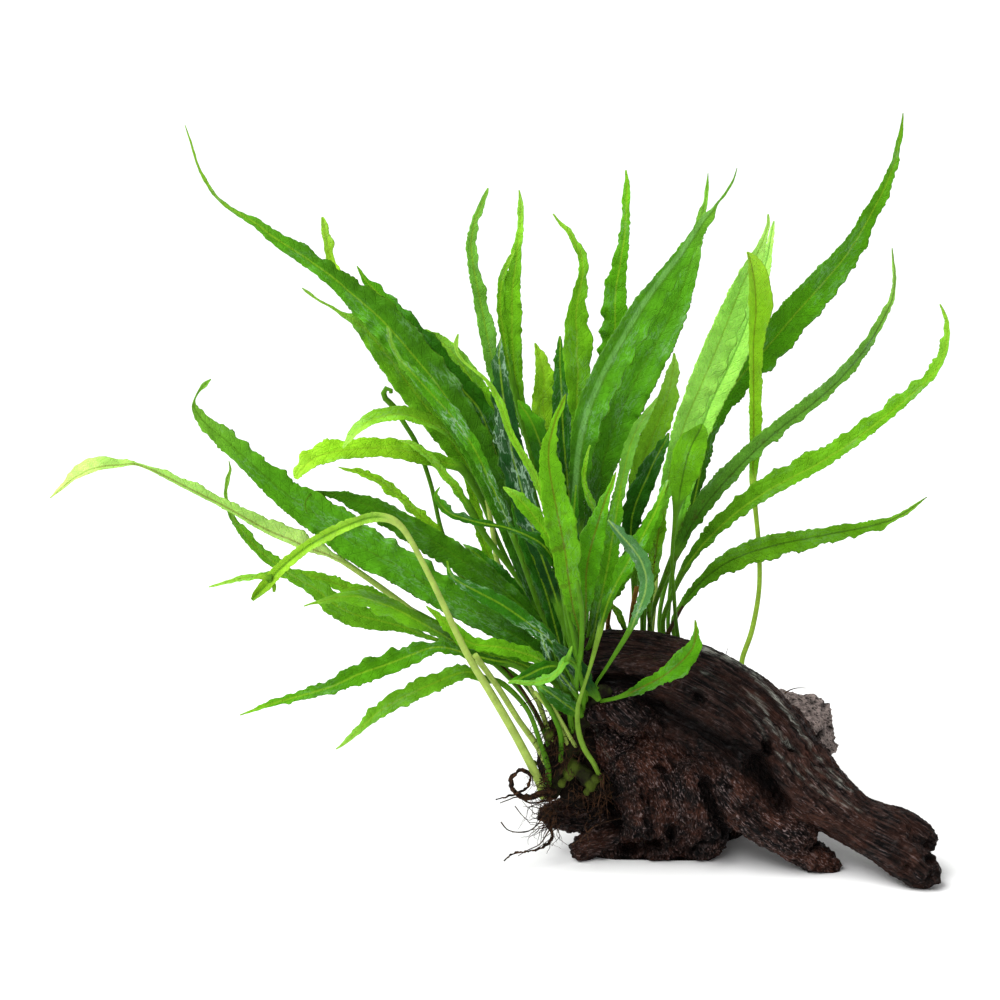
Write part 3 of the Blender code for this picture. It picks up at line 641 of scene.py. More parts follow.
@dataclass(frozen=True)
class WoodFinish:
    """Black, soaked wood: fibres along the grain, rust, a bare, paler knot, and painted light and shade:
    glints, a grey wet reflection along the arch, darkness in its valleys and crevices, and brighter or darker
    patches.
    """

    # near-black of the grain, and of the painted shade in valleys and crevices
    black_and_painted_shade: tuple = (5, 4, 4)
    flesh: tuple = (46, 32, 28)
    rust: tuple = (78, 45, 33)
    painted_glint: tuple = (138, 120, 118)
    # colour of the painted wet highlight along the arch
    wet: tuple = (158, 160, 150)
    bare: tuple = (158, 144, 138)

    def material(self) -> bpy.types.Material:
        """Draw the finish. It reads grain coordinates in millimetres from the mesh."""
        sheet = Sheet("finish_wood")
        grain = sheet.attribute("grain", "Vector")
        relief_shading = sheet.attribute("relief_shading")
        raw = sheet.attribute("raw")
        fibres = sheet.noise(sheet.stretched(grain, (0.07, 1.0, 1.0)), 1.2, 3.0, 0.55)
        hairlines = sheet.noise(sheet.stretched(grain, (0.08, 1.0, 1.0)), 1.9, 2.0, 0.5)
        patches = sheet.noise(grain, 0.09, 4.0, 0.6)
        crumbs = sheet.noise(sheet.stretched(grain, (0.36, 1.0, 1.0)), 1.9, 2.0, 0.5)
        deep = relief_shading * (1.0 - sheet.attribute("crevice_shade") * 0.95)
        colour = sheet.blend(fibres.step(0.44, 0.58), self.black_and_painted_shade, self.flesh)
        colour = sheet.blend(patches.step(0.42, 0.64) * (raw * 0.45 + 0.30), colour, self.rust)
        colour = sheet.blend(sheet.attribute("bare") * (hairlines * 0.8 + 0.4), colour, self.bare)
        colour = sheet.blend(crumbs.step(0.48, 0.38) * (raw * 0.6 + 0.2), colour, self.black_and_painted_shade)
        # Painted highlights: small glints on the ridges and crumbs.
        colour = sheet.blend(hairlines.step(0.60, 0.68) * relief_shading * 0.30, colour, self.painted_glint)
        colour = sheet.blend(crumbs.step(0.57, 0.67) * relief_shading * (raw * 0.62 + 0.10), colour, self.painted_glint)
        # Painted shade in the valleys of the grain and in the cut crevices and holes.
        colour = sheet.blend((1.0 - deep) * 0.9, colour, self.black_and_painted_shade)
        # Painted light and shade: brightness from the discs of the LIT table.
        colour = sheet.brighten(colour, sheet.attribute("light"))
        # Painted reflection: wet grey lines along the arch, broken along the grain.
        wet = sheet.attribute("painted_sheen") * (hairlines.step(0.44, 0.56) * 0.85 + 0.15)
        colour = sheet.blend(wet, colour, self.wet)
        height = fibres * (1.0 - raw * 0.4) + hairlines * 0.7 + crumbs * (0.25 + raw * 1.0)
        damp = sheet.noise(grain, 0.4, 3.0).step(0.42, 0.62)
        return sheet.finish(
            Base_Color=colour,
            Roughness=0.58 - damp * 0.22 + crumbs * 0.12,
            Specular_IOR_Level=0.05,
            Coat_Weight=damp * 0.06,
            Coat_Roughness=0.25,
            Normal=sheet.bump(height, 1.3 * MM, 1.0),
        )


@dataclass(frozen=True)
class FibreFinish:
    """Root, felt or rhizome: two colours in patches, scaly, and green where the mesh is fresh."""

    name: str
    first: tuple
    second: tuple
    roughness: float
    scale: float

    def material(self) -> bpy.types.Material:
        """Draw the finish."""
        sheet = Sheet(self.name)
        patches = sheet.noise(sheet.places(), self.scale, 3.0, 0.6)
        scales = sheet.noise(sheet.places(), self.scale * 5.0, 3.0, 0.6)
        colour = sheet.blend(patches.step(0.40, 0.60), self.first, self.second)
        colour = sheet.blend(sheet.attribute("fresh"), colour, (70, 86, 22))
        colour = sheet.brighten(colour, scales * 0.9 + 0.55)
        return sheet.finish(
            Base_Color=colour,
            Roughness=self.roughness + scales * 0.2,
            Specular_IOR_Level=0.08,
            Normal=sheet.bump(scales + patches, 0.3 * MM, 0.8),
        )


# Leaves


@dataclass(frozen=True)
class Leaf:
    """One leaf, from its stem to its tip.

    The route's rows are right px, down px, back mm and the width seen there in px. The blade begins at
    the row that blade_row names. The midrib lies off the middle by the skew, to the left as the leaf runs
    where it is positive. The brightness of the left and of the right half is painted light and shade, as
    where a half turns towards or away from the light, and a pale strip beside the midrib is a painted
    highlight of a given strength.
    """

    name: str
    tone: Tone
    green: Green
    stem: str
    along: float
    blade_row: int
    route: str
    roll: tuple[float, ...] = (0.0, 0.0)
    fold: float = 0.24
    ruffle: float = 1.0
    rib: Rib = Rib.YELLOW
    speckle: float = 0.15
    skew: float = 0.0
    # painted light and shade: brightness of the left and of the right half
    painted_half_light: tuple[float, float] = (1.0, 1.0)
    stalk: Stalk = Stalk.GREEN
    # strength of the painted highlight beside the midrib
    painted_rib_highlight: float = 0.0


LEFT_LEAVES: tuple[Leaf, ...] = (
    Leaf("leaf_left_01", Tone.PALE, Green.CHARTREUSE, "left", 0.02, 6, """
    538 779 -5 9, 517 738 -14 8.5, 492 695 -26 8, 466 652 -37 7, 432 581 -50 6, 408 536 -57 6,
    394 521 -60 8, 377 517 -62 10, 359 521 -64 11, 333 532 -67 12, 307 547 -70 12, 281 568 -72 12,
    266 585 -74 13, 258 593 -75 9, 252 600 -76 4""",
        fold=0.75, ruffle=0.1, rib=Rib.GROOVE, speckle=0.05, stalk=Stalk.PALE),
    Leaf("leaf_left_02", Tone.MID, Green.WILLOW, "left", 0.09, 4, """
    548 768 -5 6, 540 742 -7 5, 527 709 -11 5, 503 684 -16 6, 484 679 -20 8, 469 672 -23 13, 451 676 -26 18,
    425 687 -30 19, 398 700 -34 18, 376 714 -37 14, 357 732 -39 8, 345 743 -41 4, 336 749 -42 1.5""",
        roll=(0, 15), ruffle=1.5),
    Leaf("leaf_left_03", Tone.PALE, Green.PALE, "left", 0.16, 6, """
    540 752 -2 5, 518 719 -4 6, 497 686 -8 6, 475 658 -13 6, 440 633 -18 6, 398 600 -22 6, 350 566 -27 6,
    330 554 -28 8, 312 546 -30 14, 294 537 -32 18, 271 528 -33 16, 247 516 -35 12, 223 503 -37 10,
    199 491 -39 10, 175 479 -41 9, 155 470 -42 6, 140 465 -42 3, 131 463 -43 5, 120 463 -43 10,
    104 463 -44 15, 88 467 -44 16, 72 477 -45 11, 61 488 -45 5, 50 498 -46 1""",
        roll=(0, 15), ruffle=0.8, rib=Rib.RUSSET, skew=0.42, speckle=0.05, stalk=Stalk.PALE),
    Leaf("leaf_left_04", Tone.MID, Green.GRASS, "left", 0.25, 3, """
    540 722 -1 5, 520 690 -6 5, 490 660 -14 5, 470 650 -19 6, 451 640 -23 9, 438 632 -26 13, 411 617 -30 19,
    385 605 -33 21, 359 597 -36 18, 338 597 -38 11, 317 602 -41 4, 304 606 -42 1.5""",
        roll=(0, -20), painted_half_light=(1.05, 0.52)),
    Leaf("leaf_left_05", Tone.MID, Green.MEADOW, "left", 0.32, 3, """
    560 732 -9 5, 545 700 -14 5, 531 676 -19 5, 513 665 -23 6, 492 660 -26 8, 471 655 -28 10,
    447 648 -31 11, 430 648 -33 15, 411 655 -36 20, 385 665 -39 23, 359 674 -42 21, 333 686 -45 15,
    307 694 -47 11, 281 701 -49 8, 262 707 -51 5, 240 715 -52 1.5""",
        roll=(10, 10), ruffle=1.5, painted_half_light=(1.0, 0.8), speckle=0.05),
    Leaf("leaf_left_06", Tone.MID, Green.WILLOW, "left", 0.39, 3, """
    548 728 3 5, 537 700 1 5, 510 672 -3 5, 450 645 -9 5, 425 636 -11 6, 406 628 -12 10, 385 622 -13 19,
    354 614 -15 27, 333 603 -17 25, 317 590 -18 18, 296 578 -20 13, 279 566 -21 12, 266 556 -22 12,
    252 543 -23 11, 238 526 -24 8, 230 512 -25 6, 226 497 -26 4, 227 480 -27 4, 230 470 -27 2.5,
    229 461 -28 1""", roll=(-10, 20), ruffle=1.2),
    Leaf("leaf_left_07", Tone.BRIGHT, Green.SPRING, "left", 0.46, 3, """
    548 700 6 4, 518 668 3 4, 470 640 -1 4, 420 614 -4 5, 393 602 -6 8, 372 593 -7 11, 346 587 -8 13,
    320 578 -10 12, 296 574 -11 11, 280 574 -12 9, 260 576 -13 7, 239 579 -14 6, 223 583 -15 4,
    209 587 -15 1.5""", ruffle=1.2),
    Leaf("leaf_left_08", Tone.DARK, Green.FERN, "left", 0.64, 0, """
    565 680 -9 6, 548 662 -11 13, 529 645 -14 20, 503 629 -16 25, 464 607 -19 31, 425 583 -21 36,
    398 566 -23 39, 359 545 -25 40, 333 526 -27 38, 307 508 -29 35, 289 496 -30 32, 271 481 -31 27,
    255 467 -33 23, 239 452 -34 22, 223 438 -35 21, 207 425 -36 15, 196 411 -37 9, 194 402 -38 3,
    199 391 -38 2.5, 205 384 -38 5, 211 379 -38 1""", roll=(6, 14), rib=Rib.OLIVE),
    Leaf("leaf_left_09", Tone.MID, Green.MOSS, "middle", 0.0, 1, """
    557 672 1 5, 546 645 -1 8, 532 618 -3 14, 503 590 -5 21, 477 571 -7 26, 451 553 -8 28, 425 537 -10 28,
    398 521 -11 25, 375 508 -13 21, 349 499 -14 15, 335 495 -15 10, 325 493 -16 5, 316 492 -20 3,
    309 496 -31 1.6, 305 504 -34 1.2, 307 513 -34 0.8""", roll=(0, -12), rib=Rib.OLIVE),
    Leaf("leaf_left_10", Tone.WET, Green.EMERALD, "left", 0.7, 1, """
    574 682 -15 5, 561 655 -18 9, 546 637 -20 14, 527 622 -21 18, 513 612 -22 19, 499 603 -23 19,
    478 592 -25 16, 458 581 -27 9, 450 573 -28 6, 447 561 -28 2""", ruffle=0.8),
    Leaf("leaf_left_11", Tone.MID, Green.TURF, "left", 0.56, 0, """
    566 692 -13 6, 556 673 -16 10, 541 660 -20 14, 520 652 -23 15, 499 647 -25 15, 478 645 -26 15,
    467 641 -27 17, 453 630 -28 14, 439 617 -29 8, 426 606 -30 1.5"""),
    Leaf("leaf_left_12", Tone.BRIGHT, Green.MINT, "left", 0.755, 1, """
    583 688 -21 5, 577 668 -28 5, 567 660 -32 7, 560 669 -34 8, 553 676 -36 8, 543 681 -38 8, 532 683 -39 7,
    520 683 -40 5, 509 681 -41 2""", roll=(0, 25), ruffle=1.3),
    Leaf("leaf_left_13", Tone.DARK, Green.DEEP, "left", 0.82, 2, """
    583 676 -18 5, 570 636 -24 5, 563 590 -30 6, 557 566 -34 11, 548 551 -36 14, 537 541 -37 13,
    521 533 -39 9, 503 527 -40 5, 485 524 -42 6, 469 520 -43 8, 451 514 -45 9, 440 504 -46 10,
    436 494 -47 6, 440 487 -47 1""", roll=(0, 20), ruffle=1.6),
)

HIGH_LEAVES: tuple[Leaf, ...] = (
    Leaf("leaf_high_01", Tone.DARK, Green.FERN, "middle", 0.14, 1, """
    560 655 5 6, 540 612 4 10, 526 577 3 16, 512 533 3 23, 497 490 2 29, 470 435 1 34, 440 388 0 37,
    419 362 0 38, 398 337 -1 38, 376 314 -1 36, 350 292 -1 27, 330 275 -2 21, 300 254 -2 19, 275 238 -2 15,
    255 223 -2 9, 236 212 -2 6, 225 205 -2 4, 215 195 -3 3.5, 205 180 -3 3.5, 197 163 -3 2.5, 190 140 -3 2,
    185 125 -3 0.8""", roll=(6, 12), ruffle=0.9, painted_half_light=(1.0, 0.62), speckle=0.0),
    Leaf("leaf_high_02", Tone.DARK, Green.DEEP, "middle", 0.2, 1, """
    562 648 11 5, 545 600 11 8, 525 540 11 14, 503 475 11 21, 482 415 12 25, 463 390 12 25, 439 361 13 24,
    415 333 14 22, 392 308 14 18, 374 289 15 13, 366 281 15 8, 361 273 15 4, 357 266 15 1""",
        roll=(-6, 12)),
    Leaf("leaf_high_03", Tone.BRIGHT, Green.GRASS, "middle", 0.32, 1, """
    566 640 18 5, 552 590 18 7, 530 520 18 11, 512 470 19 16, 497 430 19 21, 479 394 20 23, 462 366 21 22,
    449 349 21 18, 436 339 22 14, 425 333 22 8, 414 329 22 1.5""", roll=(0, -12)),
    Leaf("leaf_high_04", Tone.BRIGHT, Green.WILLOW, "middle", 0.38, 2, """
    565 636 25 5, 548 590 25 6, 514 530 24 9, 484 490 23 15, 464 460 23 21, 443 430 22 27, 424 404 21 30,
    407 382 21 30, 391 360 21 28, 379 345 20 26, 366 330 20 20, 354 320 19 12, 345 316 19 7, 333 308 19 3,
    320 301 18 2.5, 310 294 18 3.5, 302 288 18 1""", roll=(0, 12)),
    Leaf("leaf_high_05", Tone.BRIGHT, Green.LIME, "middle", 0.5, 1, """
    556 640 33 5, 515 595 32 7, 492 562 31 9, 480 530 31 11, 474 498 30 12, 468 468 30 13, 458 438 30 14,
    430 395 30 16, 380 330 31 17, 345 290 32 13, 337 274 32 11, 331 260 33 9.5, 328 247 33 9, 326 235 33 9,
    324 225 33 7, 322 217 33 2""", roll=(0, 15)),
    Leaf("leaf_high_06", Tone.WET, Green.FERN, "middle", 0.08, 2, """
    560 650 1 5, 541 612 0 5, 515 540 -4 7, 480 460 -8 13, 463 432 -9 16, 449 413 -10 17, 426 388 -11 16,
    412 373 -12 12, 400 360 -12 7, 394 350 -12 5, 391 342 -13 6, 389 333 -13 5, 387 326 -13 1""",
        roll=(0, 15), ruffle=0.7),
    Leaf("leaf_high_07", Tone.BRIGHT, Green.SPRING, "middle", 0.26, 4, """
    554 650 14 4, 546 625 15 4, 518 570 15 5, 498 520 14 6, 475 470 12 8, 455 440 10 9, 444 430 8 10,
    431 423 6 12, 415 417 3 14, 401 414 0 15, 384 416 -3 15, 369 421 -5 14, 356 431 -7 11, 348 441 -8 7,
    343 448 -8 2.5""", roll=(0, 20), ruffle=0.4, fold=0.35, painted_half_light=(1.15, 0.75)),
    Leaf("leaf_high_08", Tone.BRIGHT, Green.LIME, "middle", 0.44, 4, """
    552 644 21 4, 528 600 21 4, 500 545 20 5, 480 497 18 6, 463 470 16 9, 452 465 15 11, 439 461 14 14,
    423 456 12 18, 399 450 9 20, 376 448 7 20, 344 450 4 21, 320 455 2 22, 308 462 0 19, 300 471 -1 13,
    296 479 -2 4""", roll=(0, 15), speckle=0.05, painted_half_light=(0.86, 1.05)),
    Leaf("leaf_high_09", Tone.PALE, Green.FERN, "middle", 0.58, 99, """
    546 642 38 5, 500 612 34 5, 460 575 30 5, 442 532 26 4.5, 431 485 22 4.5, 417 445 19 5, 404 423 18 5,
    394 407 17 6, 385 398 16 6, 384 390 15 6, 390 388 15 5, 391 393 14 4""", fold=0.0, ruffle=0.0),
)

CENTRE_LEAVES: tuple[Leaf, ...] = (
    Leaf("leaf_centre_01", Tone.BRIGHT, Green.TURF, "left", 0.885, 1, """
    576 686 -17 3.5, 579 657 -22 3.5, 579 632 -30 4.5, 573 608 -38 12, 568 575 -43 25, 565 550 -45 30,
    559 520 -47 32, 553 490 -48 28, 549 465 -49 22, 549 446 -49 16, 553 428 -50 9, 557 415 -50 6,
    562 404 -51 6, 566 394 -51 1""", roll=(0, 10), rib=Rib.RUSSET, speckle=0.6),
    Leaf("leaf_centre_02", Tone.BRIGHT, Green.MEADOW, "left", 0.93, 1, """
    582 678 -11 3, 582 652 -16 3, 584 630 -20 4, 586 606 -23 11, 586 578 -27 24, 588 560 -29 28,
    592 543 -32 26, 597 526 -33 21, 602 510 -35 14, 607 496 -35 8, 612 484 -36 6, 616 472 -36 1""",
        roll=(0, -10), rib=Rib.RUSSET, speckle=0.3),
    Leaf("leaf_centre_03", Tone.WET, Green.SAGE, "left", 0.90, 3, """
    596 684 -14 3, 605 670 -21 3.5, 617 651 -31 4.5, 629 631 -39 6, 639 609 -46 11, 645 592 -50 14,
    646 578 -53 16, 643 565 -55 17, 636 553 -57 16, 628 543 -59 14, 619 533 -60 11, 613 526 -61 7,
    608 520 -61 2""", roll=(0, 15), rib=Rib.PALE),
    Leaf("leaf_centre_04", Tone.WET, Green.MEADOW, "left_low", 0.86, 6, """
    594 764 -8 5, 584 748 -13 5.5, 578 728 -17 5.5, 578 706 -21 4.5, 584 686 -26 3.5, 591 664 -28 4,
    599 634 -28 6, 606 608 -29 9, 613 590 -29 12, 622 573 -29 15, 633 553 -30 16, 645 532 -31 14,
    656 510 -32 10, 662 494 -33 6, 668 480 -33 1.5""", roll=(0, -12), stalk=Stalk.LEEK),
    Leaf("leaf_centre_05", Tone.MID, Green.MEADOW, "left", 0.90, 1, """
    612 699 -14 4, 622 696 -17 5, 636 690 -20 10, 648 684 -22 13, 660 678 -23 16, 673 669 -24 20,
    685 658 -25 22, 692 649 -25 18, 695 640 -25 12, 696 632 -25 6, 695 620 -24 1""",
        roll=(0, 12), rib=Rib.RUSSET, ruffle=1.3),
    Leaf("leaf_centre_06", Tone.BRIGHT, Green.SPRING, "left", 0.79, 1, """
    582 668 -12 5, 565 600 -16 6, 552 530 -18 7, 539 487 -18 8, 527 463 -19 8, 516 444 -20 8, 508 428 -20 8,
    502 409 -21 8, 495 393 -21 7, 486 380 -22 4, 474 370 -22 3, 463 361 -22 2.5, 457 352 -23 4,
    456 343 -23 5, 458 334 -23 1.5""", roll=(0, 15), ruffle=0.5),
    Leaf("leaf_centre_07", Tone.WET, Green.TEAL, "middle", 0.05, 1, """
    577 668 -4 6, 560 610 -6 10, 547 572 -7 15, 536 540 -8 20, 526 508 -9 25, 519 480 -9 28, 513 458 -10 28,
    508 432 -11 26, 505 410 -12 23, 502 388 -13 19, 500 369 -13 15, 499 355 -14 10, 500 346 -14 6,
    501 338 -14 1""", roll=(0, -12), fold=0.3),
    Leaf("leaf_centre_08", Tone.DARK, Green.DEEP, "middle", 0.11, 1, """
    572 655 3 5, 565 600 3 10, 558 550 3 17, 553 505 2 23, 547 468 2 25, 538 437 1 23, 529 417 0 17,
    522 407 0 10, 518 400 0 1.5""", roll=(0, 10)),
    Leaf("leaf_centre_09", Tone.BRIGHT, Green.MINT, "middle", 0.78, 2, """
    572 632 38 4, 560 585 36 5, 535 500 33 7, 510 420 31 12, 497 380 30 16, 489 345 28 17, 484 320 28 16,
    480 300 28 15, 477 285 27 13, 474 270 27 12, 472 256 27 11, 471 242 27 11, 473 230 27 9, 475 220 27 8,
    479 210 27 7, 484 198 27 6, 488 188 27 1.5""", roll=(0, 15)),
    Leaf("leaf_centre_10", Tone.MID, Green.GRASS, "middle", 0.86, 2, """
    577 628 44 4, 569 585 43 5, 550 500 41 7, 526 430 40 11, 517 392 39 15, 514 365 39 19, 512 338 39 21,
    512 315 39 22, 512 298 39 21, 513 284 39 17, 515 270 39 14, 517 256 40 11, 518 243 40 9, 520 230 41 8,
    521 214 41 7, 521 203 41 5, 519 190 41 1.5""", roll=(0, -15)),
    Leaf("leaf_centre_11", Tone.BRIGHT, Green.LIME, "middle", 0.7, 2, """
    576 630 31 4, 570 580 29 6, 562 500 27 12, 553 455 25 19, 546 425 24 24, 543 405 24 25, 544 388 23 23,
    544 375 23 20, 541 362 23 14, 538 352 23 8, 535 343 23 2""", roll=(0, 12)),
    Leaf("leaf_centre_12", Tone.DARK, Green.FOREST, "middle", 0.35, 1, """
    575 640 20 5, 576 580 20 8, 572 530 20 13, 568 487 20 18, 565 455 19 21, 563 430 19 22, 562 405 19 20,
    561 382 19 16, 560 365 19 12, 560 350 19 8, 560 336 19 2""", roll=(0, -10)),
    Leaf("leaf_centre_13", Tone.DARK, Green.FERN, "middle", 0.17, 2, """
    577 650 7 5, 577 590 6 6, 577 535 6 11, 579 480 6 20, 584 438 6 27, 592 408 7 31, 603 382 8 32,
    615 358 8 32, 630 332 10 31, 645 307 11 28, 659 287 12 24, 679 260 13 18, 694 238 15 15, 704 222 16 13,
    712 212 17 8, 717 204 17 3, 724 195 18 2.5, 730 186 18 3, 734 178 19 2, 737 168 19 0.8""",
        roll=(0, 12), rib=Rib.OLIVE, painted_half_light=(0.82, 1.1), painted_rib_highlight=0.75),
    Leaf("leaf_centre_14", Tone.DARK, Green.FERN, "middle", 0.55, 1, """
    584 635 27 5, 586 580 26 9, 590 535 25 15, 596 495 24 23, 603 463 23 30, 611 437 23 36, 620 412 23 40,
    633 385 23 42, 645 362 24 41, 657 341 24 38, 668 321 25 33, 677 301 26 28, 685 280 26 23, 691 262 27 19,
    696 243 28 14, 699 228 28 11, 702 215 29 8, 705 203 29 5, 707 190 30 4, 708 173 30 0.8""",
        roll=(0, -12), ruffle=0.8, rib=Rib.OLIVE),
    Leaf("leaf_centre_15", Tone.BRIGHT, Green.GRASS, "middle", 0.29, 2, """
    582 640 13 4, 581 560 13 5, 578 480 13 8, 577 425 13 13, 577 395 13 20, 578 372 13 27, 577 352 13 30,
    577 334 13 28, 576 318 13 23, 578 300 13 17, 581 284 14 12, 583 268 14 10, 581 255 15 9, 575 243 15 8,
    569 232 15 6, 561 224 16 4, 553 214 16 1.5""", roll=(0, 12)),
    Leaf("leaf_centre_16", Tone.BRIGHT, Green.MEADOW, "back", 0.02, 2, """
    608 624 50 4, 600 590 46 5, 596 540 42 6, 597 470 39 11, 602 410 37 17, 608 370 36 22, 613 345 36 26,
    615 325 36 27, 615 305 36 25, 616 288 37 22, 619 270 37 18, 622 253 37 14, 625 232 38 10, 626 210 38 9,
    627 188 39 7, 626 170 39 1.5""", roll=(0, -12)),
)

RIGHT_LEAVES: tuple[Leaf, ...] = (
    Leaf("leaf_right_01", Tone.MID, Green.SPRING, "back", 0.21, 2, """
    642 624 50 4, 641 590 49 5, 635 550 48 8, 633 512 47 13, 637 485 47 18, 643 460 47 23, 652 437 47 25,
    661 415 47 25, 668 395 47 20, 672 375 47 14, 674 363 47 8, 674 353 47 2""", roll=(0, 10)),
    Leaf("leaf_right_02", Tone.MID, Green.MINT, "middle", 0.42, 2, """
    587 640 19 4, 595 580 17 5, 605 545 16 9, 611 520 16 11, 617 500 15 12, 622 480 15 12, 626 462 15 13,
    630 446 15 13, 636 431 15 12, 645 416 15 9, 652 406 15 6, 657 398 15 2""", roll=(0, 15), ruffle=0.6),
    Leaf("leaf_right_03", Tone.DARK, Green.FOREST, "back", 0.12, 2, """
    630 626 48 4, 634 600 45 5, 634 570 43 9, 631 543 40 15, 632 518 39 20, 638 498 38 23, 646 480 37 22,
    653 464 37 19, 659 452 37 14, 665 442 37 9, 669 433 37 2""", roll=(0, -10)),
    Leaf("leaf_right_04", Tone.MID, Green.MEADOW, "middle", 0.92, 0, """
    594 626 36 5, 602 610 33 9, 611 594 31 14, 621 576 29 19, 632 557 28 22, 642 540 28 22, 650 526 28 19,
    657 512 28 14, 663 498 28 8, 668 484 28 2""", roll=(0, 12), rib=Rib.RUSSET, speckle=0.8),
    Leaf("leaf_right_05", Tone.BRIGHT, Green.OLIVE, "back", 0.49, 4, """
    676 622 46 4, 674 594 38 4, 672 560 32 4, 675 522 26 5, 677 506 24 9, 680 491 22 19, 683 476 20 28,
    686 463 18 32, 690 450 17 33, 695 439 17 29, 700 430 16 17, 702 424 16 3""",
        roll=(0, 8), rib=Rib.DARK, ruffle=0.5, speckle=0.2),
    Leaf("leaf_right_06", Tone.PALE, Green.GLASS, "back", 0.305, 2, """
    651 624 62 4, 653 570 67 5, 660 520 71 9, 668 480 74 15, 677 448 76 20, 687 418 78 24, 700 388 79 28,
    712 360 81 30, 724 331 82 29, 733 308 83 26, 741 288 84 22, 750 268 85 17, 758 252 86 12, 764 238 86 8,
    768 225 87 5, 768 214 87 1.5""", roll=(0, 12), ruffle=0.7, painted_half_light=(1.0, 0.9)),
    Leaf("leaf_right_07", Tone.PALE, Green.GLASS, "back", 0.425, 2, """
    668 624 63 4, 672 575 71 5, 680 525 79 8, 691 475 84 13, 700 435 88 19, 710 405 90 24, 723 378 92 27,
    735 352 93 28, 745 328 94 27, 754 302 95 22, 761 279 95 17, 767 259 96 11, 770 243 96 7, 772 232 97 5,
    774 221 97 1.5""", roll=(0, -12), ruffle=0.6, rib=Rib.GROOVE, painted_rib_highlight=0.3),
    Leaf("leaf_right_08", Tone.PALE, Green.LIME, "back", 0.97, 5, """
    742 660 52 5, 752 630 59 5, 759 590 65 4.5, 759 550 69 4.5, 756 515 72 4.5, 753 485 73 6, 753 465 74 11,
    754 440 74 13, 754 410 75 14, 754 375 75 14, 754 350 75 16, 755 332 75 19, 757 315 75 24, 757 298 75 26,
    756 283 74 25, 753 268 74 19, 750 258 73 10, 747 252 73 2""",
        roll=(10, 20), rib=Rib.RUSSET, fold=0.5, ruffle=0.3, painted_half_light=(1.12, 0.95), stalk=Stalk.LIME),
    Leaf("leaf_right_09", Tone.DARK, Green.MEADOW, "back", 0.365, 3, """
    659 624 65 4, 664 590 75 5, 676 553 83 6, 690 516 90 8, 699 478 94 12, 705 444 97 17, 711 424 98 20,
    721 404 100 24, 733 387 101 28, 748 368 102 31, 765 350 103 34, 787 324 104 35, 799 310 105 35,
    812 296 105 34, 825 281 106 32, 838 266 106 28, 850 250 107 24, 860 234 107 20, 870 216 108 18,
    879 199 108 15, 888 180 109 11, 895 160 109 8, 899 141 110 6, 902 124 110 3.5, 903 113 110 1""",
        roll=(0, 12)),
    Leaf("leaf_right_10", Tone.DARK, Green.REED, "back", 0.275, 3, """
    650 622 49 5, 657 598 49 5, 668 570 46 7, 676 553 45 10, 685 533 44 14, 695 515 43 18, 707 498 42 20,
    725 477 40 20, 744 458 38 18, 762 441 37 17, 781 425 36 16, 806 406 34 16, 832 384 32 15, 848 367 31 14,
    862 350 30 12, 873 334 29 10, 884 314 28 8, 891 300 27 6, 894 285 26 4, 894 272 26 4, 893 262 26 3,
    892 248 26 1""", roll=(0, 14), rib=Rib.DARK, speckle=0.5, skew=-0.3),
    Leaf("leaf_right_11", Tone.MID, Green.GRASS, "back", 0.375, 2, """
    663 620 54 5, 672 595 54 5, 681 575 54 7, 690 559 54 10, 702 543 54 13, 717 527 53 16, 732 513 53 18,
    749 500 53 20, 768 487 52 22, 790 475 52 23, 812 464 51 22, 832 452 51 20, 852 439 51 18, 876 421 50 16,
    899 403 49 14, 920 385 49 12, 931 374 48 11, 939 362 48 10, 945 345 48 9, 947 325 48 5, 944 313 48 3.5,
    940 304 48 1""", roll=(0, -14), ruffle=1.3, skew=-0.25),
    Leaf("leaf_right_12", Tone.MID, Green.GRASS, "back", 0.46, 1, """
    673 622 58 5, 680 608 60 6, 690 594 62 9, 702 581 63 13, 714 571 64 17, 728 562 64 21, 746 554 64 24,
    765 548 64 25, 790 542 64 23, 815 537 63 19, 840 532 63 16, 862 528 63 13, 885 522 63 10, 895 518 62 7,
    907 511 62 4.5, 917 504 62 3.5, 927 497 62 1""", roll=(0, 14), rib=Rib.DARK, speckle=0.2, ruffle=1.3),
)

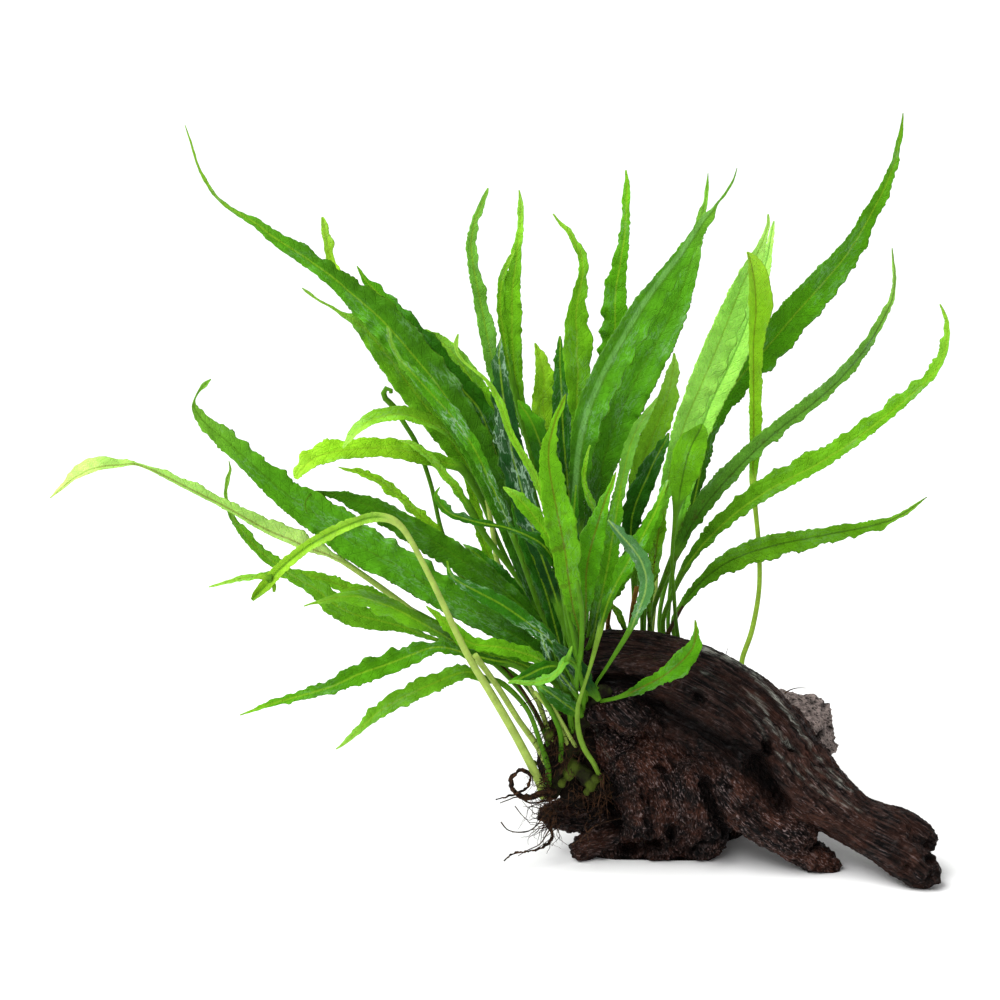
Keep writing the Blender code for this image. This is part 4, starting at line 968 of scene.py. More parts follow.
SMALL_LEAVES: tuple[Leaf, ...] = (
    Leaf("prong_a", Tone.PALE, Green.CHARTREUSE, "", 0.0, 0, """
    272 578 -73 7, 263 577 -73.5 6, 255 577 -74 1.5""", ruffle=0.3),
    Leaf("prong_b", Tone.PALE, Green.CHARTREUSE, "", 0.0, 0, """
    270 580 -73 6, 274 586 -73 5, 274 592 -73 3""", ruffle=0.3),
    Leaf("small_01", Tone.BRIGHT, Green.SPRING, "middle", 0.3, 3, """
    548 625 12 4, 515 575 11 5, 485 535 10 6, 471 511 10 8, 458 491 10 9, 438 466 9 9, 424 452 8 8,
    410 443 8 5, 397 440 8 1"""),
    Leaf("small_02", Tone.BRIGHT, Green.LIME, "middle", 0.5, 2, """
    545 635 26 4, 500 600 22 4, 460 558 19 5, 437 532 18 10, 425 520 17 13, 411 507 16 10, 398 495 16 10,
    380 481 15 10, 360 472 14 7, 349 470 14 4, 338 467 14 1""", ruffle=1.4),
    Leaf("small_03", Tone.DARK, Green.DEEP, "middle", 0.1, 0, """
    562 655 4 5, 545 633 2 10, 528 611 1 15, 515 594 1 19, 502 580 0 20, 490 568 0 19, 480 557 0 14,
    471 550 -1 8, 463 544 -1 1"""),
    Leaf("small_04", Tone.DARK, Green.DEEP, "", 0.0, 0, """
    582 716 -11 5, 575 711 -13 14, 564 703 -15 19, 553 695 -17 16, 544 689 -18 9, 536 683 -19 1.5"""),
    Leaf("small_05", Tone.WET, Green.TEAL, "", 0.0, 0, """
    578 697 -22 5, 566 681 -26 7, 556 669 -29 9, 550 660 -31 9, 545 648 -32 7, 541 634 -33 1"""),
    Leaf("small_06", Tone.BRIGHT, Green.GRASS, "", 0.0, 2, """
    578 660 -30 4, 566 600 -33 5, 558 560 -35 8, 550 540 -36 12, 540 524 -36 15, 530 511 -37 16,
    520 500 -37 14, 511 492 -38 9, 503 487 -38 1"""),
    Leaf("small_07", Tone.MID, Green.GRASS, "", 0.0, 1, """
    650 626 42 4, 649 608 40 6, 650 590 38 9, 653 570 36 12, 656 550 34 14, 659 530 33 14, 662 513 32 10,
    665 499 31 2""", rib=Rib.RUSSET, speckle=1.0),
    Leaf("small_08", Tone.BRIGHT, Green.GRASS, "", 0.0, 1, """
    600 545 -2 3, 597 518 -4 5, 592 504 -5 7, 586 490 -6 6, 584 476 -6 5, 586 460 -6 4.5, 590 445 -6 1.5"""),
    Leaf("small_09", Tone.MID, Green.GRASS, "", 0.0, 1, """
    535 470 38 5, 512 380 37 7, 503 330 37 8, 500 305 37 8, 501 287 37 7, 504 272 38 7, 509 260 38 5,
    515 250 39 1.5"""),
    Leaf("small_10", Tone.BRIGHT, Green.MINT, "", 0.0, 0, """
    566 663 -32.5 6, 569 655 -33 5, 572 646 -33.5 1"""),
    Leaf("small_11", Tone.DARK, Green.DEEP, "", 0.0, 0, """
    562 668 -30 5, 552 666 -33 12, 540 669 -35 15, 528 675 -36 12, 516 680 -37 7, 508 683 -38 1.5"""),
    Leaf("small_12", Tone.MID, Green.GRASS, "", 0.0, 0, """
    626 632 34 4, 621 619 33 7, 616 611 33 7, 611 603 33 2"""),
    Leaf("small_13", Tone.MID, Green.MEADOW, "left", 0.6, 1, """
    560 690 -6 5, 540 672 -8 8, 515 662 -10 13, 490 655 -12 14, 470 648 -13 10, 452 640 -14 2"""),
    Leaf("small_14", Tone.DARK, Green.FOREST, "middle", 0.0, 0, """
    565 668 -1 6, 556 630 -3 12, 545 590 -5 18, 532 555 -6 18, 520 525 -6 12, 512 500 -6 2"""),
    Leaf("small_15", Tone.DARK, Green.MEADOW, "middle", 0.3, 0, """
    590 645 14 6, 598 610 12 12, 606 575 10 18, 612 540 9 18, 617 510 8 12, 621 485 8 2"""),
    Leaf("small_17", Tone.DARK, Green.TEAL, "", 0.0, 0, """
    599 700 -18 6, 590 686 -19 13, 580 672 -20 17, 570 660 -21 18, 560 650 -22 12, 553 643 -22 2""",
        rib=Rib.DARK),
    Leaf("small_16", Tone.DARK, Green.FOREST, "middle", 0.1, 0, """
    575 660 2 6, 571 625 0 12, 570 585 -1 16, 572 545 -1 14, 574 510 -1 9, 576 485 -1 2"""),
)

STALKS: tuple[tuple[Stalk, str], ...] = (
    (Stalk.PALE, "475 655 -30 6, 497 686 -22 6, 509 705 -15 6, 520 722 -9 6, 532 738 -4 6, 546 758 -2 6"),
    (Stalk.PALE, "528 683 -6 4, 537 700 -4 4.5, 546 724 -1 4.5, 556 748 0 4"),
    (Stalk.PALE, "535 692 -14 4, 549 709 -10 4.5, 560 727 -7 4.5, 569 748 -3 4"),
    (Stalk.PALE, "551 703 -12 4, 558 716 -10 4.5, 567 732 -7 4.5, 576 747 -4 4"),
    (Stalk.PALE, "487 500 18 5, 491 521 18 5, 494 540 18 5, 500 568 18 5, 530 620 18 5"),
    (Stalk.GREEN, """
    577 581 -48 4, 580 597 -46 5, 582 615 -42 5, 582 632 -38 5, 581 650 -33 5, 578 668 -28 5,
    576 690 -22 5"""),
    (Stalk.RUST, "637 587 38 5, 633 606 40 5, 630 630 44 5"),
    (Stalk.RUST, "612 600 40 3.5, 609 615 42 4, 607 632 46 4"),
    (Stalk.DARK, "683 606 56 2.5, 676 618 55 4, 667 635 54 5"),
    (Stalk.GREEN, "646 570 60 3, 645 600 57 4, 644 634 54 4"),
    (Stalk.PALE, "657 575 62 3, 655 600 58 4, 652 634 55 4"),
    (Stalk.GREEN, "594 590 20 4, 596 615 24 5, 598 640 30 5"),
    (Stalk.DARK, "560 600 0 3, 566 625 2 4, 572 655 4 4"),
    (Stalk.GREEN, "517 655 -4 4, 532 672 -3 4, 548 692 -2 5, 560 715 -1 5"),
    (Stalk.DARK, "498 662 -10 2.5, 515 680 -9 3, 530 702 -6 3, 542 726 -3 3"),
)

# A blade row past every route's end: the leaf is a stalk alone.
NO_BLADE = 99

LEAVES: tuple[Leaf, ...] = LEFT_LEAVES + HIGH_LEAVES + CENTRE_LEAVES + RIGHT_LEAVES + SMALL_LEAVES + tuple(
    Leaf(f"stalk_{number:02d}", Tone.PALE, Green.GRASS, "", 0.0, NO_BLADE, route, stalk=stalk)
    for number, (stalk, route) in enumerate(STALKS, 1))

STEMS: dict[str, str] = {
    "left": "548 800 1, 560 775 0, 573 745 -2, 583 718 -4, 596 699 -8, 612 689 -9",
    "left_low": "562 774 0, 574 768 -3, 588 778 -2, 600 788 2",
    "middle": "574 712 5, 563 690 12, 560 668 24, 567 652 37, 584 644 46",
    "back": "612 648 52, 650 649 54, 700 662 52, 744 684 48",
}


class Foliage:
    """All leaves: thin closed blades with a round stalk, a raised midrib and a ruffled, toothed edge."""

    columns = np.array((-1.0, -0.90, -0.66, -0.38, -0.11, 0.0, 0.11, 0.38, 0.66, 0.90, 1.0))
    blade_thickness = 0.40
    stem_radius = 3.0
    blade_stride = 0.60
    stalk_stride = 2.2
    blade_ease = 7.0
    tooth = 2.1
    tooth_depth = 0.52
    tooth_middle = 0.62
    ruffle_reach = 0.40
    billow_lift = 0.27
    pucker_lift = 0.24
    short_edge = 0.45
    short_lift = 0.12
    stalk_depth = 1.8
    rib_height = 0.5
    least_cosine = 0.8
    twist = 2.0

    def __init__(self, finishes: dict[Tone, bpy.types.Material]) -> None:
        """Keep the finishes and the stems' lines."""
        self.finishes = finishes
        self.stems = {name: route_of(text) for name, text in STEMS.items()}
        self.waves = Grain(11)

    def start(self, leaf: Leaf, towards: Rows) -> Rows:
        """Place on the stem's surface where a leaf's stalk begins."""
        stem = self.stems[leaf.stem]
        centre = stem.at([leaf.along])[0]
        tangent = stem.tangents([leaf.along])[0]
        outward = towards - centre
        outward -= tangent * outward.dot(tangent)
        return centre + unit(outward) * (self.stem_radius - 0.4) * MM

    def line(self, leaf: Leaf) -> tuple[Route, float]:
        """Midrib line of a leaf with its seen width, and the millimetres before its blade begins."""
        given = rows_of(leaf.route)
        rows = np.hstack((VIEW.place(given[:, :3]), given[:, 3:]))
        first = leaf.blade_row
        if leaf.stem:
            begin = self.start(leaf, rows[0, :3])
            rows = np.vstack((np.append(begin, rows[0, 3]), rows))
            first += 1
        route = Route(rows)
        if leaf.blade_row == NO_BLADE:
            return route, math.inf
        return route, float(route.travelled[first * route.steps]) / MM

    def shares(self, length: float, blade_from: float) -> Rows:
        """Shares of the length, in millimetres, at which a leaf has a ring: close together on the blade."""
        blade_from = min(blade_from, length)
        stalk = np.arange(0.0, blade_from, self.stalk_stride)
        blade = np.arange(blade_from, length, self.blade_stride)
        return np.unique(np.concatenate((stalk, blade, (length,)))) / length

    def wave(self, travelled: Rows, lane: float, short: float) -> Rows:
        """Uneven ruffle along one margin: long waves, with a given share of short ones on them."""
        pace = travelled / 10.5 + 0.9 * self.waves.along(travelled / 24.0, lane)
        swell = 0.6 + 0.6 * self.waves.along(travelled / 17.0, lane + 5.0)
        quick = travelled / 4.3 + 0.8 * self.waves.along(travelled / 9.0, lane + 31.0)
        return np.sin(2.0 * math.pi * pace + lane) * swell + short * np.sin(2.0 * math.pi * quick + lane)

    def teeth(self, travelled: Rows, lane: float) -> Rows:
        """Small rounded teeth along one margin, from 0 to 1."""
        pace = travelled / self.tooth + 1.5 * self.waves.along(travelled / 6.5, lane + 9.0)
        uneven = 0.9 * self.waves.along(travelled / 4.2, lane + 15.0)
        height = np.clip(self.tooth_middle + uneven, 0.12, 1.2)
        return np.abs(np.sin(math.pi * pace)) ** 0.7 * height

    def tint(self, leaf: Leaf, shares: Rows, first: float, lamina: Rows, columns: Rows) -> Rows:
        """Colour of a leaf by ring and by place in the ring, as linear rows with alpha."""
        main, low, tip = (linear(colour) for colour in leaf.green.value)
        blade = np.clip((shares - first) / max(1.0 - first, 0.01), 0.0, 1.0)
        # The lower part of the blade is darker, partly its own colour and partly painted shade from the
        # leaves above.
        rows = low + (main - low) * ease(blade / 0.42)[:, None]
        rows = rows + (tip - rows) * ease((blade - 0.72) / 0.28)[:, None]
        # Painted light and shade: one half of the blade brighter or darker, fading out towards the tip.
        lit = np.interp(columns, (-0.25, 0.25), leaf.painted_half_light[::-1])
        lit = 1.0 + (lit[None, :] - 1.0) * (1.0 - ease((blade - 0.62) / 0.2))[:, None]
        stalk = linear(leaf.stalk.value)
        rows = stalk + (rows[:, None] * lit[..., None] - stalk) * lamina[:, None, None]
        return np.concatenate((rows, np.ones(rows.shape[:2] + (1,))), axis=2)

    def build(self, leaf: Leaf, number: int) -> bpy.types.Object:
        """Model one leaf.

        Args:
            leaf: Its measures.
            number: Its place in the table, which seeds its ruffles.

        Returns:
            The finished piece.
        """
        route, blade_from = self.line(leaf)
        length = route.length / MM
        shares = self.shares(length, blade_from)
        rows, tangents = route.at(shares), route.tangents(shares)
        line, travelled = rows[:, :3], shares * length
        _, _, away = VIEW.axes()
        facing = unit(-away + tangents * (tangents @ away)[:, None])
        roll = np.radians(self.twist * np.interp(shares, np.linspace(0.0, 1.0, len(leaf.roll)), leaf.roll))
        lamina = ease((travelled - blade_from) / self.blade_ease)
        seen = rows[:, 3] * VIEW.pixel / MM * ((line - VIEW.eye()) @ away) / VIEW.distance
        half = 0.5 * seen / np.maximum(np.cos(roll), self.least_cosine)
        roll = roll + lamina * 0.14 * leaf.ruffle * self.waves.along(travelled / 30.0, number)
        across = np.cross(facing, tangents) * np.cos(roll)[:, None] + facing * np.sin(roll)[:, None]
        through = np.cross(tangents, across)
        columns = np.concatenate((self.columns, self.columns[-2:0:-1]))
        upper = np.concatenate((np.ones(len(self.columns)), -np.ones(len(self.columns) - 2)))
        side = np.abs(columns)
        lean = np.where(columns < 0.0, number * 2.0, number * 2.0 + 1.0)
        ruffle, billow = (
            leaf.ruffle * np.stack([self.wave(travelled, lane, short) for lane in lean], axis=1)
            for short in (self.short_edge, self.short_lift))
        teeth = np.stack([self.teeth(travelled, lane) for lane in lean], axis=1)
        wide = half[:, None] * lamina[:, None]
        room = np.minimum(wide / 1.9, 1.0)
        reach = half[:, None] * (columns + leaf.skew * lamina[:, None] * (1.0 - columns ** 2))
        margin = (teeth - self.tooth_middle) * self.tooth_depth + self.ruffle_reach * ruffle
        reach = reach + np.sign(columns) * room * side ** 6 * margin
        lift = wide * (leaf.fold * side - 0.35 * leaf.fold + self.billow_lift * billow * side ** 2.0)
        spots = np.stack([np.broadcast_to(travelled[:, None], reach.shape), reach,
                          np.full(reach.shape, number * 7.7)], axis=2).reshape(-1, 3)
        pucker = self.waves.layered(spots / 3.6, 2).reshape(reach.shape)
        puckered = self.pucker_lift * min(leaf.ruffle, 1.0) * pucker * lamina[:, None] * (1.0 - side ** 4)
        lift = lift + puckered * np.minimum(half, 3.0)[:, None] / 3.0
        thick = self.stalk_depth * half + (self.blade_thickness - self.stalk_depth * half) * lamina
        thick = thick * (1.0 - 0.45 * ease((shares - 0.8) / 0.2) * lamina)
        round_side = np.sqrt(1.0 - side ** 2)
        flat_side = 1.0 - side ** 6
        swell = round_side + (flat_side - round_side) * lamina[:, None]
        from_rib = reach - half[:, None] * leaf.skew * lamina[:, None]
        ridge = self.rib_height * np.exp(-(from_rib / 0.55) ** 2) * lamina[:, None] * (upper < 0.0)
        ridge = ridge * np.minimum(half / 2.5, 1.0)[:, None]
        lift = lift + upper * 0.5 * thick[:, None] * swell - ridge
        rings = line[:, None] + (across[:, None] * reach[..., None] + through[:, None] * lift[..., None]) * MM
        shape = reach.shape
        fading = 1.0 - ease((shares - 0.55) / 0.3)
        values = {
            "blade": np.stack((from_rib, np.broadcast_to(travelled[:, None], shape),
                               np.full(shape, number * 13.0)), axis=2),
            "edge": 1.0 - np.broadcast_to(side, shape),
            "lamina": np.broadcast_to(lamina[:, None], shape),
            "speckle": np.broadcast_to(leaf.speckle * fading[:, None], shape),
            "painted_rib_highlight": np.full(shape, leaf.painted_rib_highlight),
            "tint": self.tint(leaf, shares, blade_from / length, lamina, columns),
            "rib": np.broadcast_to(np.append(linear(leaf.rib.value), 1.0), shape + (4,)),
        }
        piece = skin("fern_" + leaf.name, rings, values)
        piece.data.materials.append(self.finishes[leaf.tone])
        return piece

    def grow(self) -> None:
        """Build every leaf and let it ride on the plant."""
        for number, leaf in enumerate(LEAVES):
            piece = self.build(leaf, number)
            settle(piece, [leaf.name] if leaf.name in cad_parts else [])


# Driftwood

WOOD_STRANDS: tuple[tuple[str, str], ...] = (
    ("arch", """
    566 664 20 11, 640 666 22 12.5, 700 690 18 15, 755 730 10 15, 800 775 0 12.5, 850 817 -10 9,
    895 841 -18 9.5, 914 848 -20 8.5"""),
    ("arch", """
    566 661 32 10, 650 662 36 10.5, 715 684 34 11, 765 716 26 10, 810 766 14 8, 832 795 7 5.5, 855 809 1 5,
    900 829 -11 7, 924 840 -16 5.5, 937 846 -18 4"""),
    ("arch", """
    572 676 9 7, 660 682 4 9, 710 706 0 10, 750 737 -6 9, 800 790 -12 8, 850 821 -17 6.2, 895 853 -23 7,
    925 872 -26 6.5, 941 880 -26 4"""),
    ("arch", "628 706 6 8, 684 724 0 9.5, 730 750 -4 9, 764 780 -6 7"),
    ("mass", "640 720 8 15, 650 770 6 16, 655 815 8 14, 655 858 13 11"),
    ("mass", "690 740 4 14, 700 790 2 15, 700 826 6 11, 694 856 14 7.5"),
    ("mass", "612 720 14 10, 628 770 16 11, 634 815 12 12, 620 846 10 9, 597 858 8 6"),
    ("mass", "592 700 26 9, 650 705 24 12, 700 720 20 12"),
    ("mass", "590 716 -4 4.6, 604 708 -8 5.0, 622 710 -7 6.5, 642 722 -2 9"),
    ("mass", "600 700 12 8.5, 606 730 8 8.5, 620 760 5 8.5, 642 790 5 9"),
    ("prong", "715 760 -2 12, 745 797 -6 11, 775 822 -9 9.5, 802 840 -10 7, 813 848 -10 6"),
    ("prong", "780 836 -8 7, 812 856 -9 5, 830 865 -9 3.6, 840 871 -9 2.6"),
    ("mass", "680 740 20 14, 685 800 20 14, 685 852 22 11"),
    ("mass", "655 720 36 14, 662 790 38 14, 668 840 40 11"),
    ("mass", "720 720 28 12, 722 780 30 12, 720 842 32 10"),
    ("mass", "612 716 33 9, 636 760 41 8.5, 680 806 43 8.5, 716 838 39 7"),
    ("mass", "706 712 34 8, 690 756 43 6, 664 800 47 6, 628 832 46 5.5, 612 840 43 4"),
    ("mass", "742 728 26 8, 738 770 34 6.5, 700 812 42 5, 690 838 42 4.4"),
    ("mass", "608 708 18 7.5, 606 740 20 6.5, 614 778 22 6.5, 626 815 26 6.5"),
    ("spur", "640 795 18 9, 595 812 14 7.5, 560 815 11 5.2, 540 812 9 3"),
    ("spur", "630 824 8 6, 604 838 5 5.5, 580 850 3 4.5, 570 854 3 3"),
    ("knot", "765 712 34 9, 792 717 43 8.5, 806 728 49 8, 822 751 52 5"),
    ("knot", "800 707 46 5, 816 714 50 5, 822 738 53 4.5, 828 756 53 3"),
)

GRAIN_GUIDES: dict[str, str] = {
    "arch": """
    560 668 14, 640 674 14, 700 698 10, 755 738 3, 800 783 -6, 850 819 -14, 900 845 -21, 950 880 -26""",
    "mass": "560 676 6, 600 708 6, 636 744 8, 662 790 10, 674 870 14",
    "prong": "700 745 0, 745 798 -6, 780 828 -9, 845 875 -11",
    "spur": "660 790 20, 595 812 14, 530 818 8",
    "knot": "760 700 34, 800 720 45, 835 765 54",
}


# Painted highlights: wet grey lines along the arch, as the view sees them. Before the colon: strength, and
# half width in view pixels.
PAINTED_SHEEN_LINES: list[tuple[float, float, Rows]] = strokes("""
    0.80 2.2: 697 646, 722 656, 745 667, 760 680
    0.85 1.6: 757 680, 775 697, 790 716, 806 739
    0.66 1.0: 806 739, 818 758, 843 783
    0.50 0.8: 755 694, 766 707
    0.58 2.2: 766 720, 778 734, 790 746
    0.44 1.4: 742 690, 756 700, 768 714
    0.40 0.8: 776 752, 800 776, 822 793, 850 808
    0.34 0.7: 800 764, 828 790, 862 812
    0.30 0.9: 594 724, 606 752, 616 770
    0.34 0.6: 788 744, 808 761, 828 779
    0.70 0.9: 826 775, 840 785, 852 791
    0.30 0.6: 736 704, 749 712, 761 728, 766 740
    0.34 0.6: 694 688, 704 690
    0.34 0.6: 700 672, 708 674""")


# Painted light and shade on the wood, as discs: under 1 they darken the shelf under the crown, the recesses
# and the cavity by the roots, over 1 they brighten patches. Right px, down px, reach px and how many times as
# bright.
LIT: Rows = rows_of("""
    648 712 28 0.48, 690 728 26 0.44, 728 750 24 0.46, 615 738 30 1.45, 665 780 44 1.18, 640 830 40 1.12,
    714 818 24 1.12, 790 752 32 1.12, 828 796 42 1.30, 885 838 48 1.24, 775 835 44 1.55, 815 725 34 1.50,
    560 812 28 0.40, 760 788 20 0.60, 613 792 17 0.10, 822 788 26 1.30, 604 846 18 0.80""")


# Right px, down px and reach px.
WORN: Rows = rows_of("""
    690 838 46, 640 826 40, 925 862 42, 582 846 40, 826 862 26, 820 730 46, 545 812 24""")


@dataclass(frozen=True)
class Chisel:
    """A stroke on the wood's surface, in the view: it cuts in, or raises where the depth is negative.

    It lies on the surface that the view sees, or on the one behind, away from the eye.
    """

    depth: float
    width: float
    stroke: Rows
    behind: bool = False


# Strokes on the side that the view sees. Before the colon: depth and width in millimetres.
FRONT_STROKES = strokes("""
    3.4 3.6: 640 699, 671 711, 703 730, 735 748, 758 758
    1.6 1.6: 640 704, 671 717, 710 742, 748 764
    1.4 1.4: 650 712, 690 734, 730 766
    5.0 3.6: 600 682, 620 681, 640 685
    6.0 2.4: 767 744, 769 753
    5.0 2.4: 788 745, 797 752
    3.6 1.8: 696 694, 703 700
    4.0 1.8: 658 767, 664 772
    3.0 1.6: 660 722, 665 727
    3.4 1.6: 728 785, 731 787
    2.6 1.4: 642 796, 645 800
    2.2 1.4: 752 806, 762 812
    5.2 3.0: 705 784, 709 802, 720 822, 728 838
    8.5 6.0: 756 768, 766 786, 780 803
    4.6 2.6: 671 828, 673 842
    6.0 5.6: 603 786, 611 806, 618 822
    2.0 2.0: 652 790, 648 812, 651 832
    2.2 1.8: 741 808, 757 823, 778 838
    1.8 1.6: 805 788, 848 823, 893 852
    1.4 1.3: 640 668, 690 690, 738 722, 770 752
    6.0 2.0: 938 857, 930 858
    3.6 1.6: 816 738, 821 731
    3.0 1.5: 828 703, 822 706
    2.4 1.3: 834 727, 829 729
    2.0 1.3: 838 741, 834 742
    2.0 1.3: 808 689, 806 694
    7.0 4.4: 626 852, 640 846, 656 846
    3.0 1.8: 928 842, 936 846
    2.0 1.6: 905 866, 914 872
    2.4 2.0: 936 872, 930 878
    3.0 1.8: 818 846, 812 850
    2.0 1.6: 778 806, 786 812
    4.0 2.6: 574 838, 570 842
    3.4 2.2: 690 852, 700 842, 718 838
    2.6 1.6: 646 856, 642 862
    -2.4 4.6: 688 770, 695 798, 712 830
    -2.2 4.4: 634 762, 640 800, 642 842
    -1.4 1.8: 722 660, 758 684, 788 708, 814 742, 842 780
    -1.0 1.5: 766 722, 784 742, 802 760, 828 780, 850 792
    1.5 1.3: 762 690, 786 716, 808 748, 834 782
    1.2 1.2: 776 752, 800 778, 836 806, 880 838
    -1.5 2.6: 668 704, 700 724, 738 744""")

# The same on the far side.
BACK_STROKES = strokes("""
    5.0 2.8: 648 716, 642 756, 652 800, 646 832
    4.4 2.6: 700 716, 690 748, 700 790, 694 830
    3.6 2.0: 664 770, 676 792, 672 816
    4.6 2.2: 628 770, 632 778
    5.0 2.4: 716 762, 722 772
    4.0 1.8: 668 742, 672 748
    2.4 1.8: 620 800, 640 806, 668 826
    3.0 2.0: 724 800, 706 824
    -2.0 3.0: 624 724, 628 780, 622 822
    -2.2 2.8: 676 716, 664 760, 684 806
    2.0 1.6: 640 676, 700 690, 760 724, 806 770
    2.6 1.6: 760 724, 790 756, 850 806""")

CHISELS: list[Chisel] = [Chisel(*row) for row in FRONT_STROKES]
CHISELS += [Chisel(*row, behind=True) for row in BACK_STROKES]


class Driftwood:
    """The whole piece of wood: strands fused in one body, carved, then roughened along its grain."""

    rough_voxel = 1.0 * MM
    fine_voxel = 0.71 * MM
    lump_size = 8.5 * MM
    chip_size = 3.6 * MM
    crumb_size = 1.7 * MM
    ridge_width = 1.7
    full_shade_depth = 3.6
    broken_face = 580.0
    face_foot = 706.0
    end_rounding = 0.4
    stations = 48
    around = 24
    roughness = {
        "arch": (0.30, 0.52, 0.12, 0.0),
        "mass": (0.95, 0.70, 0.60, 0.85),
        "prong": (0.60, 0.75, 0.40, 0.7),
        "spur": (0.55, 0.50, 0.40, 0.6),
        "knot": (1.00, 0.55, 0.55, 1.0),
    }
    stretch = {"arch": 16.0, "mass": 5.0, "prong": 8.0, "spur": 8.0, "knot": 4.0}

    def __init__(self, finish: bpy.types.Material) -> None:
        """Keep the finish."""
        self.finish = finish
        self.noise = Grain(29)

    def strand(self, number: int) -> bpy.types.Object:
        """One rounded strand."""
        route = route_of(WOOD_STRANDS[number][1])
        shares = np.linspace(0.0, 1.0, self.stations)
        line = route.at(shares)
        inwards = np.minimum(np.minimum(shares, 1.0 - shares) * route.length / line[:, 3], 1.0)
        radii = line[:, 3] * np.sqrt(np.maximum(1.0 - (1.0 - inwards) ** 2, self.end_rounding ** 2))
        return tube(f"strand_{number}", line[:, :3], radii, self.around)

    def fuse(self) -> bpy.types.Object:
        """Join the strands in one smooth body."""
        body = joined([self.strand(number) for number in range(len(WOOD_STRANDS))], "driftwood")
        apply_modifier(body, "REMESH", mode="VOXEL", voxel_size=self.rough_voxel)
        apply_modifier(body, "SMOOTH", factor=0.5, iterations=5)
        return body

    def carve(self, body: bpy.types.Object) -> None:
        """Cut the crevices, holes and folds, and raise the ridges between them."""
        for chisel in CHISELS:
            places = coordinates(body.data)
            body.data.calc_loop_triangles()
            triangles = [tuple(triangle.vertices) for triangle in body.data.loop_triangles]
            tree = BVHTree.FromPolygons(places.tolist(), triangles)
            rows = []
            count = len(chisel.stroke)
            steps = np.linspace(0.0, count - 1.0, 6 * count)
            for right, down in zip(*(np.interp(steps, np.arange(count), part) for part in chisel.stroke.T)):
                start, heading = Vector(VIEW.eye()), Vector(VIEW.ray(right, down))
                if chisel.behind:
                    start, heading = start + heading * 2.0, -heading
                hit, normal, _, _ = tree.ray_cast(start, heading)
                if hit is not None:
                    rows.append((*hit, *normal))
            if not rows:
                LOG.warning("a chisel stroke at %s misses the wood", chisel.stroke[0])
                continue
            rows = np.array(rows)
            gaps = np.linalg.norm(places[:, None] - rows[None, :, :3], axis=2)
            nearest = gaps.argmin(axis=1)
            share = np.clip(1.0 - (gaps.min(axis=1) / (chisel.width * MM)) ** 2, 0.0, 1.0)
            cut = rows[:, 3:] * 0.6 - VIEW.axes()[2] * (-0.4 if chisel.behind else 0.4)
            move_to(body.data, places - cut[nearest] * (share ** 2 * chisel.depth * MM)[:, None])

    def stand(self, body: bpy.types.Object) -> None:
        """Cut the body flat where it stands on the ground."""
        choose(body)
        bpy.ops.object.mode_set(mode="EDIT")
        bpy.ops.mesh.select_all(action="SELECT")
        bpy.ops.mesh.bisect(
            plane_co=(0.0, 0.0, 0.0), plane_no=(0.0, 0.0, -1.0), use_fill=True, clear_outer=True)
        bpy.ops.object.mode_set(mode="OBJECT")

    def nearness(self, places: Rows) -> dict[str, Rows]:
        """How deep each place lies in the strands of each grain, in metres."""
        depth = {}
        for grain, text in WOOD_STRANDS:
            best = np.full(len(places), -1.0)
            for place in route_of(text).at(np.linspace(0.0, 1.0, 60)):
                best = np.maximum(best, place[3] - np.linalg.norm(places - place[:3], axis=1))
            depth[grain] = np.maximum(depth.get(grain, best), best)
        return depth

    def along_grain(self, places: Rows, grain: str) -> Rows:
        """Millimetres along a grain and away from its guide line."""
        route = route_of(GRAIN_GUIDES[grain])
        shares = np.linspace(0.0, 1.0, 160)
        line, tangents = route.at(shares), route.tangents(shares)
        side = unit(np.cross(tangents, (0.0, 1.0, 0.0)))
        lift = np.cross(side, tangents)
        best = np.full(len(places), np.inf)
        nearest = np.zeros(len(places), int)
        for index, place in enumerate(line):
            gap = np.linalg.norm(places - place, axis=1)
            closer = gap < best
            best[closer] = gap[closer]
            nearest[closer] = index
        local = places - line[nearest]
        along = shares[nearest] * route.length + np.sum(local * tangents[nearest], axis=1)
        columns = (along, np.sum(local * side[nearest], axis=1), np.sum(local * lift[nearest], axis=1))
        return np.stack(columns, axis=1) / MM

    def roughen(self, body: bpy.types.Object) -> None:
        """Raise lumps, grain ridges and crumbs, and store what the finish reads."""
        places, facing = coordinates(body.data), normals(body.data)
        depth = self.nearness(places)
        grains = list(depth)
        closeness = np.stack([depth[grain] for grain in grains], axis=1) / (1.3 * MM)
        weights = np.exp(closeness - closeness.max(axis=1, keepdims=True))
        weights /= weights.sum(axis=1, keepdims=True)
        strongest = weights.argmax(axis=1)
        height = np.zeros(len(places))
        relief_shading = np.zeros(len(places))
        raw = np.zeros(len(places))
        bare = weights[:, grains.index("knot")]
        grain_rows = np.zeros((len(places), 3))
        lumps = self.noise.layered(places / self.lump_size, 2)
        crumbs = self.noise.layered(places / self.crumb_size, 2)
        for index, grain in enumerate(grains):
            lump, ridge, crumb, rawness = self.roughness[grain]
            where = self.along_grain(places, grain)
            squeezed = where / np.array((self.stretch[grain], self.ridge_width, self.ridge_width))
            ridges = 1.0 - 2.0 * np.abs(self.noise.layered(squeezed, 2))
            fine = self.noise.at(squeezed * 2.7)
            share = weights[:, index]
            rise = ridge * (0.75 * ridges + 0.35 * fine)
            height += share * (lump * lumps + rise + crumb * crumbs)
            relief_shading += share * (0.55 + 0.45 * ridges + 0.25 * fine + 0.3 * crumb * crumbs)
            raw += share * rawness
            own = strongest == index
            grain_rows[own] = where[own]
        spots = VIEW.seen(places)
        worn = np.max([ease(1.4 - np.linalg.norm(spots - row[:2], axis=1) / row[2]) for row in WORN], axis=0)
